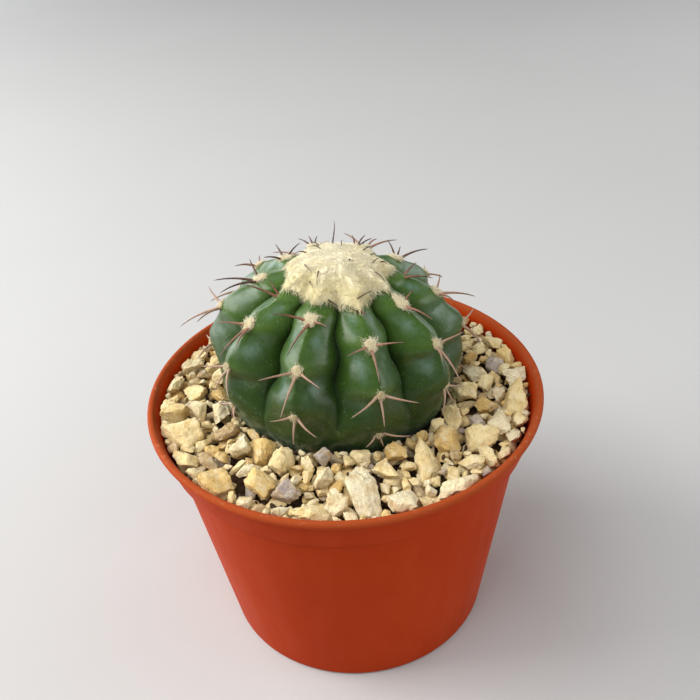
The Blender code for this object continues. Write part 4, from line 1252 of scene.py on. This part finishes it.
def cap_core(dome):
    """The felted body of the cap, with a closed underside that follows the crown."""
    inside = np.flatnonzero(dome.shares < 0.985)
    rings = [dome.top[:, ring] - dome.up[:, ring] * FELT_INSET for ring in inside]
    depth = [dome.depth[:, ring, 0] for ring in inside]
    edge = inside[-1]
    rings.append((dome.top[:, edge] + dome.skin[:, edge]) / 2)
    rings.append(dome.skin[:, edge - 4] - np.array((0, 0, CAP_DEPTH)))
    depth += [depth[-1], depth[-1]]
    top, bottom = dome.top[:, 0].mean(axis=0), rings[-1].mean(axis=0)
    points = np.concatenate([*rings, [top], [bottom]])
    marks = {
        "along": np.full(len(points), 0.5),
        "depth": np.concatenate([*depth, [0.5, 0.5]]),
        "soiled": np.zeros(len(points)),
    }
    return points, shell_faces(len(rings), CAP_TURNS), marks


def swept(draw, dome, turns, shares, lengths, spread, lifts, steps):
    """Fibres that leave the wool, run over it outwards and a little aside, and come back to it."""
    azimuth = math.tau * turns
    swirl = np.array([
        noise.noise(Vector((math.sin(angle) * share, math.cos(angle) * share, 0.3)) * SWIRL_FINENESS)
        for angle, share in zip(azimuth, shares)
    ])
    heading = swirl * SWIRL_STRENGTH + draw.normal(0, spread, len(turns))
    size = CAP_GROOVE_RADIUS + CAP_FORWARD
    out = lengths * np.cos(heading) / size
    around = lengths * np.sin(heading) / (math.tau * size * np.maximum(shares, 0.2))
    root, middle, tip = lifts
    starts = dome.over(turns, shares, root)
    middles = dome.over(turns + around / 2, np.clip(shares + out / 2, 0.01, CAP_SKIRT), middle)
    ends = dome.over(turns + around, np.clip(shares + out, 0.01, CAP_SKIRT), tip)
    radii = FIBRE_RADIUS * draw.uniform(0.7, 1.3, (len(turns), 1)) * np.linspace(1.2, 0.5, steps + 1)
    points, groups, along = tubes(curved_lines(starts, middles, ends, steps), radii, 3)
    depth = dome.sample(dome.depth, turns, shares)[:, 0]
    return points, groups, {
        "along": 0.35 + 0.65 * along,
        "depth": np.repeat(depth, len(points) // len(turns)),
        "soiled": np.zeros(len(points)),
    }


def strewn(draw, dome, count, reach, middle, tip, length, spread, steps):
    """Fibres strewn over the wool."""
    shares = np.sqrt(draw.uniform(0, 1, count)) * reach
    lifts = np.full(count, -FIBRE_ROOT), draw.uniform(*middle, count), draw.uniform(*tip, count)
    lengths = draw.uniform(*length, count)
    return swept(draw, dome, draw.uniform(0, 1, count), shares, lengths, spread, lifts, steps)


def margin(draw, dome):
    """Tufts along the wool's ragged margin."""
    each = MARGIN_TUFT_FIBRES
    count = MARGIN_TUFTS * each
    turns = np.repeat(draw.uniform(0, 1, MARGIN_TUFTS), each) + draw.normal(0, 0.004, count)
    reach = np.repeat(draw.uniform(*TUFT_REACH, MARGIN_TUFTS), each)
    shares = np.repeat(draw.uniform(*TUFT_SHARES, MARGIN_TUFTS), each) + draw.normal(0, 0.02, count)
    rise = np.repeat(draw.uniform(*TUFT_RISE, MARGIN_TUFTS), each)
    middles = draw.uniform(*TUFT_MIDDLES, count) * rise
    tips = draw.uniform(*TUFT_TIPS, count) * rise
    lengths = draw.uniform(*TUFT_FIBRE_LENGTHS, count) * reach
    return swept(draw, dome, turns, shares, lengths, 0.8, (np.full(count, -TUFT_ROOT), middles, tips), 3)


def make_cap(dome, wool):
    """The wool on the crown: its felted body, the fibres on it, the ragged margin and a few strays."""
    draw = np.random.default_rng(SEED + 1)
    parts = [
        cap_core(dome),
        strewn(draw, dome, *FELT_FIBRES),
        margin(draw, dome),
        strewn(draw, dome, *STRAY_FIBRES),
    ]
    add_piece("wool_cap_fleece", joined(parts), wool, "wool_cap")


def make_bristles(dome, horn):
    """Thin dark bristles: most lie along the wool, and a few at its back stand up."""
    turns, shares, tip_turns, tip_shares, lifts = np.array(BRISTLES).T
    starts = dome.over(turns, shares, np.full(len(turns), 0.0))
    tips = dome.over(tip_turns, tip_shares, lifts)
    middles = (starts + tips) / 2 + dome.sample(dome.up, turns, shares) * BRISTLE_ARCH
    radii = np.outer(0.7 + 0.3 * lifts / lifts.max(), BRISTLE_RADIUS * (1 - 0.85 * np.linspace(0, 1, 7)))
    points, groups, along = tubes(curved_lines(starts, middles, tips, 6), radii, 6)
    marks = {"along": along, "age": np.zeros(len(points)), "dark": np.full(len(points), 0.9)}
    add_piece("wool_bristles", (points, groups, marks), horn)


def gravel_level(x, y):
    """Height of the stones' tops: heaped a little from the wall towards the plant."""
    from_wall = inner_radius(POT_HEIGHT - GRAVEL_DROP_AT_WALL) - math.hypot(x, y)
    drop = GRAVEL_DROP_AT_WALL
    drop -= (GRAVEL_DROP_AT_WALL - GRAVEL_DROP_AT_STEM) * ease(0, GRAVEL_SLOPE, from_wall)
    return POT_HEIGHT - drop


def ball(subdivisions):
    """Points and faces of a ball of radius one."""
    shape = bmesh.new()
    bmesh.ops.create_icosphere(shape, subdivisions=subdivisions, radius=1)
    points = np.array([corner.co[:] for corner in shape.verts])
    faces = np.array([[corner.index for corner in face.verts] for face in shape.faces])
    shape.free()
    return unit(points), faces


def new_cut(draw):
    """How a stone was split: flat faces all round it, some cut deeper, and the waves of its rough skin."""
    count = draw.integers(*SPLITS)
    level = 1 - 2 * (np.arange(count) + 0.5) / count
    around = np.arange(count) * 2.4 + draw.uniform(-0.7, 0.7, count)
    flat = np.sqrt(1 - level ** 2)
    planes = unit(
        np.stack([flat * np.cos(around), flat * np.sin(around), level], 1) + draw.normal(0, 0.2, (count, 3))
    )
    waves = [(size, draw.normal(0, speed, (5, 3)), draw.uniform(0, 6, 5)) for size, speed in SPLIT_WAVES]
    return planes, draw.uniform(*SPLIT_DEPTHS, count), waves


def chipping(directions, cut, halves, spin):
    """An angular stone about its own middle: a ball cut by flat planes, with worn edges and a rough skin."""
    planes, offsets, waves = cut
    reach = offsets / np.maximum(directions @ planes.T, 0.04)
    radius = -np.log(np.exp(-SPLIT_SHARPNESS * np.minimum(reach, 3)).sum(axis=1)) / SPLIT_SHARPNESS
    radius = np.minimum(radius, 1.3)
    for size, ways, starts in waves:
        radius = radius * (1 + size * np.sin(directions @ ways.T + starts).mean(axis=1))
    return (directions * radius[:, None] * np.array(halves)) @ spin.T


def stone_spin(turn, tilt):
    """The turn of a stone about the upright, with its two tilts off the level."""
    spin = Matrix.Rotation(turn, 3, "Z") @ Matrix.Rotation(tilt[0], 3, "X")
    return np.array(spin @ Matrix.Rotation(tilt[1], 3, "Y"))


class StoneHeap:
    """Lays stones one by one, each down to what it rests on, under the stem and its spines."""

    def __init__(self, stem_points, spine_lines):
        size = int(2 * RIM_RADIUS / STONE_GRID) + 1
        spots = (np.arange(size) - size // 2) * STONE_GRID
        self.middle = size // 2
        self.heap = np.array([[gravel_level(x, y) for y in spots] for x in spots]) - BED_BELOW_TOPS
        self.ceiling = np.full((size, size), 1.0)
        low = stem_points[stem_points[:, 2] < STEM_MIDDLE.z]
        np.minimum.at(self.ceiling, self.cells(low), low[:, 2] - GAP)
        thorns = spine_lines.reshape(-1, 3)
        for shift in ((0, 0), (1, 0), (-1, 0), (0, 1), (0, -1)):
            cells = tuple(np.clip(self.cells(thorns)[axis] + shift[axis], 0, size - 1) for axis in (0, 1))
            np.minimum.at(self.ceiling, cells, thorns[:, 2] - SPINE_RADIUS)

    def cells(self, points):
        """Rows and columns of the grid's cells under points."""
        index = np.rint(points[:, :2] / STONE_GRID).astype(int) + self.middle
        index = np.clip(index, 0, 2 * self.middle)
        return index[:, 0], index[:, 1]

    def rest(self, shape, x, y):
        """How high the stone comes to rest with its middle over x, y, or None if it can't lie there."""
        spots = shape + np.array((x, y, 0))
        cells = self.cells(spots)
        height = (self.heap[cells] - shape[:, 2]).max()
        top = height + shape[:, 2]
        distance = np.hypot(spots[:, 0], spots[:, 1])
        if (distance > inner_radius(top) - GAP).any() or (top > self.ceiling[cells]).any():
            return None
        return height

    def lay(self, shape, x, y, height, tint):
        """Adds the stone with its middle there, and returns its points and tint."""
        spots = shape + np.array((x, y, height))
        np.maximum.at(self.heap, self.cells(spots), spots[:, 2])
        return spots, {"tint": np.full(len(spots), tint)}

    def keep_clear(self, spots):
        """Lets nothing be laid on a stone, but for its outermost edge."""
        middle = spots.mean(axis=0)
        inner = middle + (spots - middle) * CLEAR_SHARE
        cells = self.cells(inner)
        self.ceiling[cells] = np.minimum(self.ceiling[cells], self.heap[cells] - CLEAR_DEPTH)


def stone_tint(draw):
    """A place on the ramp of stone colours, mostly creams."""
    kind = draw.uniform()
    low, high = next(tints for limit, *tints in STONE_TINTS if kind < limit)
    return draw.uniform(low, high)


def against_wall(shape, angle):
    """How far out along an angle the stone's middle may lie, so that the stone leans on the pot's wall."""
    reach = (shape[:, :2] @ np.array((math.cos(angle), math.sin(angle)))).max()
    return inner_radius(POT_HEIGHT - GRAVEL_DROP_AT_WALL - LEAN_DROP) - GAP - reach


def fill(heap, draw, ball_shape, layer):
    """Lays stones of one layer where the heap is lowest, while their tops stay near the gravel's level."""
    directions, faces = ball_shape
    smallest, largest, count, above = layer
    laid = []
    for _ in range(TRIES * count):
        if len(laid) == count:
            break
        size = draw.uniform(smallest, largest)
        halves = [size * draw.uniform(*shares) for shares in STONE_SHARES]
        spin = stone_spin(draw.uniform(0, math.tau), draw.uniform(-STONE_LEAN, STONE_LEAN, 2))
        shape = chipping(directions, new_cut(draw), halves, spin)
        best = None
        for _ in range(PLACES):
            angle = draw.uniform(0, math.tau)
            furthest = against_wall(shape, angle)
            if draw.uniform() < WALL_CHANCE:
                places = [furthest - step for step in WALL_STEPS]
            else:
                places = [furthest * math.sqrt(draw.uniform(*OPEN_PLACES))]
            for distance in places:
                x, y = distance * math.cos(angle), distance * math.sin(angle)
                height = heap.rest(shape, x, y)
                if height is None:
                    continue
                over = height + shape[:, 2].max() - gravel_level(x, y)
                if over < above and (best is None or over < best[0]):
                    best = over, x, y, height
                break
        if best:
            _, x, y, height = best
            points, marks = heap.lay(shape, x, y, height - STONE_SINK * halves[2], stone_tint(draw))
            laid.append((points, [faces], marks))
    return laid


def landmark_stones(heap, draw, ball_shape):
    """The stones that catch the eye, each moved in or out until it fits, or left out if it can't."""
    directions, faces = ball_shape
    laid = []
    for x, y, length, width, height, turn, tilt, tint in LANDMARK_STONES:
        rock = draw.uniform(-LANDMARK_ROCK, LANDMARK_ROCK)
        spin = stone_spin(math.radians(turn), (math.radians(tilt), rock))
        planes, offsets, waves = new_cut(draw)
        cut = np.vstack([planes, (0.0, 0.0, 1.0)]), np.append(offsets, FLAT_TOP), waves
        shape = chipping(directions, cut, (1, 1, 1), np.identity(3))
        shape = shape / (np.ptp(shape, axis=0) / 2) * (length, width, height) @ spin.T
        top = gravel_level(x, y) + LANDMARK_RISE
        for pull in LANDMARK_PULLS:
            level = heap.rest(shape, x * pull, y * pull)
            if level is not None:
                level = min(level, top - shape[:, 2].max())
                points, marks = heap.lay(shape, x * pull, y * pull, level, tint)
                heap.keep_clear(points)
                laid.append((points, [faces], marks))
                break
    return laid


def make_gravel(stone, soil, stem_points, spine_lines):
    """The heap of chippings on its bed."""
    draw = np.random.default_rng(SEED + 3)
    fine, coarse = ball(4), ball(3)
    heap = StoneHeap(stem_points, spine_lines)
    under = fill(heap, draw, coarse, UNDER_STONES)
    landmarks = landmark_stones(heap, draw, fine)
    top = fill(heap, draw, fine, TOP_STONES)
    middle, chips = (fill(heap, draw, coarse, layer) for layer in (MIDDLE_STONES, CHIPS))
    crumbs = fill(heap, draw, ball(2), CRUMBS)
    size, pieces = 0, [[]]
    for made in landmarks + top + middle + chips + under:
        if size > PIECE_POINTS:
            size = 0
            pieces.append([])
        size += len(made[0])
        pieces[-1].append(made)
    for number, made in enumerate(pieces):
        points, groups, marks = joined(made)
        name = f"gravel_stones_{number + 1}"
        mesh = mesh_from(name, points, groups, marks)
        mesh.set_sharp_from_angle(angle=STONE_EDGE)
        put_on(new_object(name, mesh, stone), "gravel")
    add_piece("compost_crumbs", joined(crumbs)[:2], soil)
    bottom = POT_HEIGHT - COMPOST_DROP + GAP
    wall = inner_radius(POT_HEIGHT - GRAVEL_DROP_AT_WALL - BED_BELOW_TOPS) - GAP
    outline = [(0, bottom), (inner_radius(bottom) - BED_FOOT_CLEAR, bottom)]
    for step in range(BED_STEPS):
        radius = wall - BED_CLEAR - (wall - BED_SLOPE_END) * step / (BED_STEPS - 1)
        outline.append((radius, max(gravel_level(radius, 0) - BED_BELOW_TOPS, bottom + BED_LEAST_HEIGHT)))
    outline.append((0, gravel_level(0, 0) - BED_BELOW_TOPS))
    mesh = as_mesh("gravel_bed", turned(outline, BED_SIDES))
    mesh.shade_smooth()
    put_on(new_object("gravel_bed", mesh, soil))


def make_camera():
    """The camera, where the photograph was taken from."""
    elevation = math.radians(CAMERA_ELEVATION)
    away = Vector((0, -math.cos(elevation), math.sin(elevation)))
    right = Vector((1, 0, 0))
    up = right.cross(-away)
    aim = Matrix.Identity(3)
    for angle, axis in ((AIM_ROLL, "Z"), (AIM_TILT, "X"), (AIM_TURN, "Y")):
        aim = aim @ Matrix.Rotation(math.radians(angle), 3, axis)
    axes = aim @ Matrix((right, -up, -away))
    data = bpy.data.cameras.new("camera")
    data.sensor_width = SENSOR_WIDTH
    data.lens = SENSOR_WIDTH * FOCAL_LENGTH / PHOTO_WIDTH
    data.clip_start = CLIP_START
    camera = bpy.data.objects.new("camera", data)
    turn = Matrix((axes[0], -axes[1], -axes[2])).transposed().to_4x4()
    camera.matrix_world = Matrix.Translation(Vector((0, 0, POT_HEIGHT)) + away * CAMERA_DISTANCE) @ turn
    bpy.context.scene.collection.objects.link(camera)
    bpy.context.scene.camera = camera


def make_light(name, azimuth, elevation, distance, size, power, colour, in_gloss):
    """A soft square light that faces the plant."""
    data = bpy.data.lights.new(name, "AREA")
    data.shape = "SQUARE"
    data.size = size
    data.energy = power
    data.color = colour
    lamp = bpy.data.objects.new(name, data)
    around, up = math.radians(azimuth), math.radians(elevation)
    way = Vector((math.sin(around) * math.cos(up), -math.cos(around) * math.cos(up), math.sin(up)))
    lamp.location = Vector((0, 0, POT_HEIGHT)) + way * distance
    lamp.rotation_mode = "QUATERNION"
    lamp.rotation_quaternion = way.to_track_quat("Z", "Y")
    lamp.visible_glossy = in_gloss
    bpy.context.scene.collection.objects.link(lamp)


def make_studio(paint):
    """The lights, the pale surroundings and the floor."""
    for name, values in LIGHTS.items():
        make_light(name, *values)
    world = bpy.data.worlds.new("studio")
    world.use_nodes = True
    background = world.node_tree.nodes["Background"]
    background.inputs["Color"].default_value = SURROUNDINGS_COLOUR
    background.inputs["Strength"].default_value = SURROUNDINGS_STRENGTH
    bpy.context.scene.world = world
    bpy.context.scene.view_settings.view_transform = "Standard"
    shape = bmesh.new()
    bmesh.ops.create_circle(shape, cap_ends=True, radius=FLOOR_RADIUS, segments=FLOOR_SIDES)
    floor = new_object("floor", as_mesh("floor", shape), paint)


def main():
    """The whole plant in its pot, and what lights it."""
    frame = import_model()
    make_camera()
    groups = {"patches": patches_group(), "specks": specks_group(), "grain": grain_group()}
    make_studio(floor_finish(groups))
    make_pot(pot_finish(groups))
    soil = compost_finish(groups)
    compost = frame["nodes"]["compost"]
    compost.data.materials.clear()
    compost.data.materials.append(soil)
    stem_points = make_stem(skin_finish(groups))
    horn = spine_finish(groups)
    spine_lines = make_spines(horn)
    wool = wool_finish(groups)
    make_pads(wool)
    dome = WoolDome()
    make_cap(dome, wool)
    make_bristles(dome, horn)
    make_gravel(stone_finish(groups), soil, stem_points, spine_lines)


main()
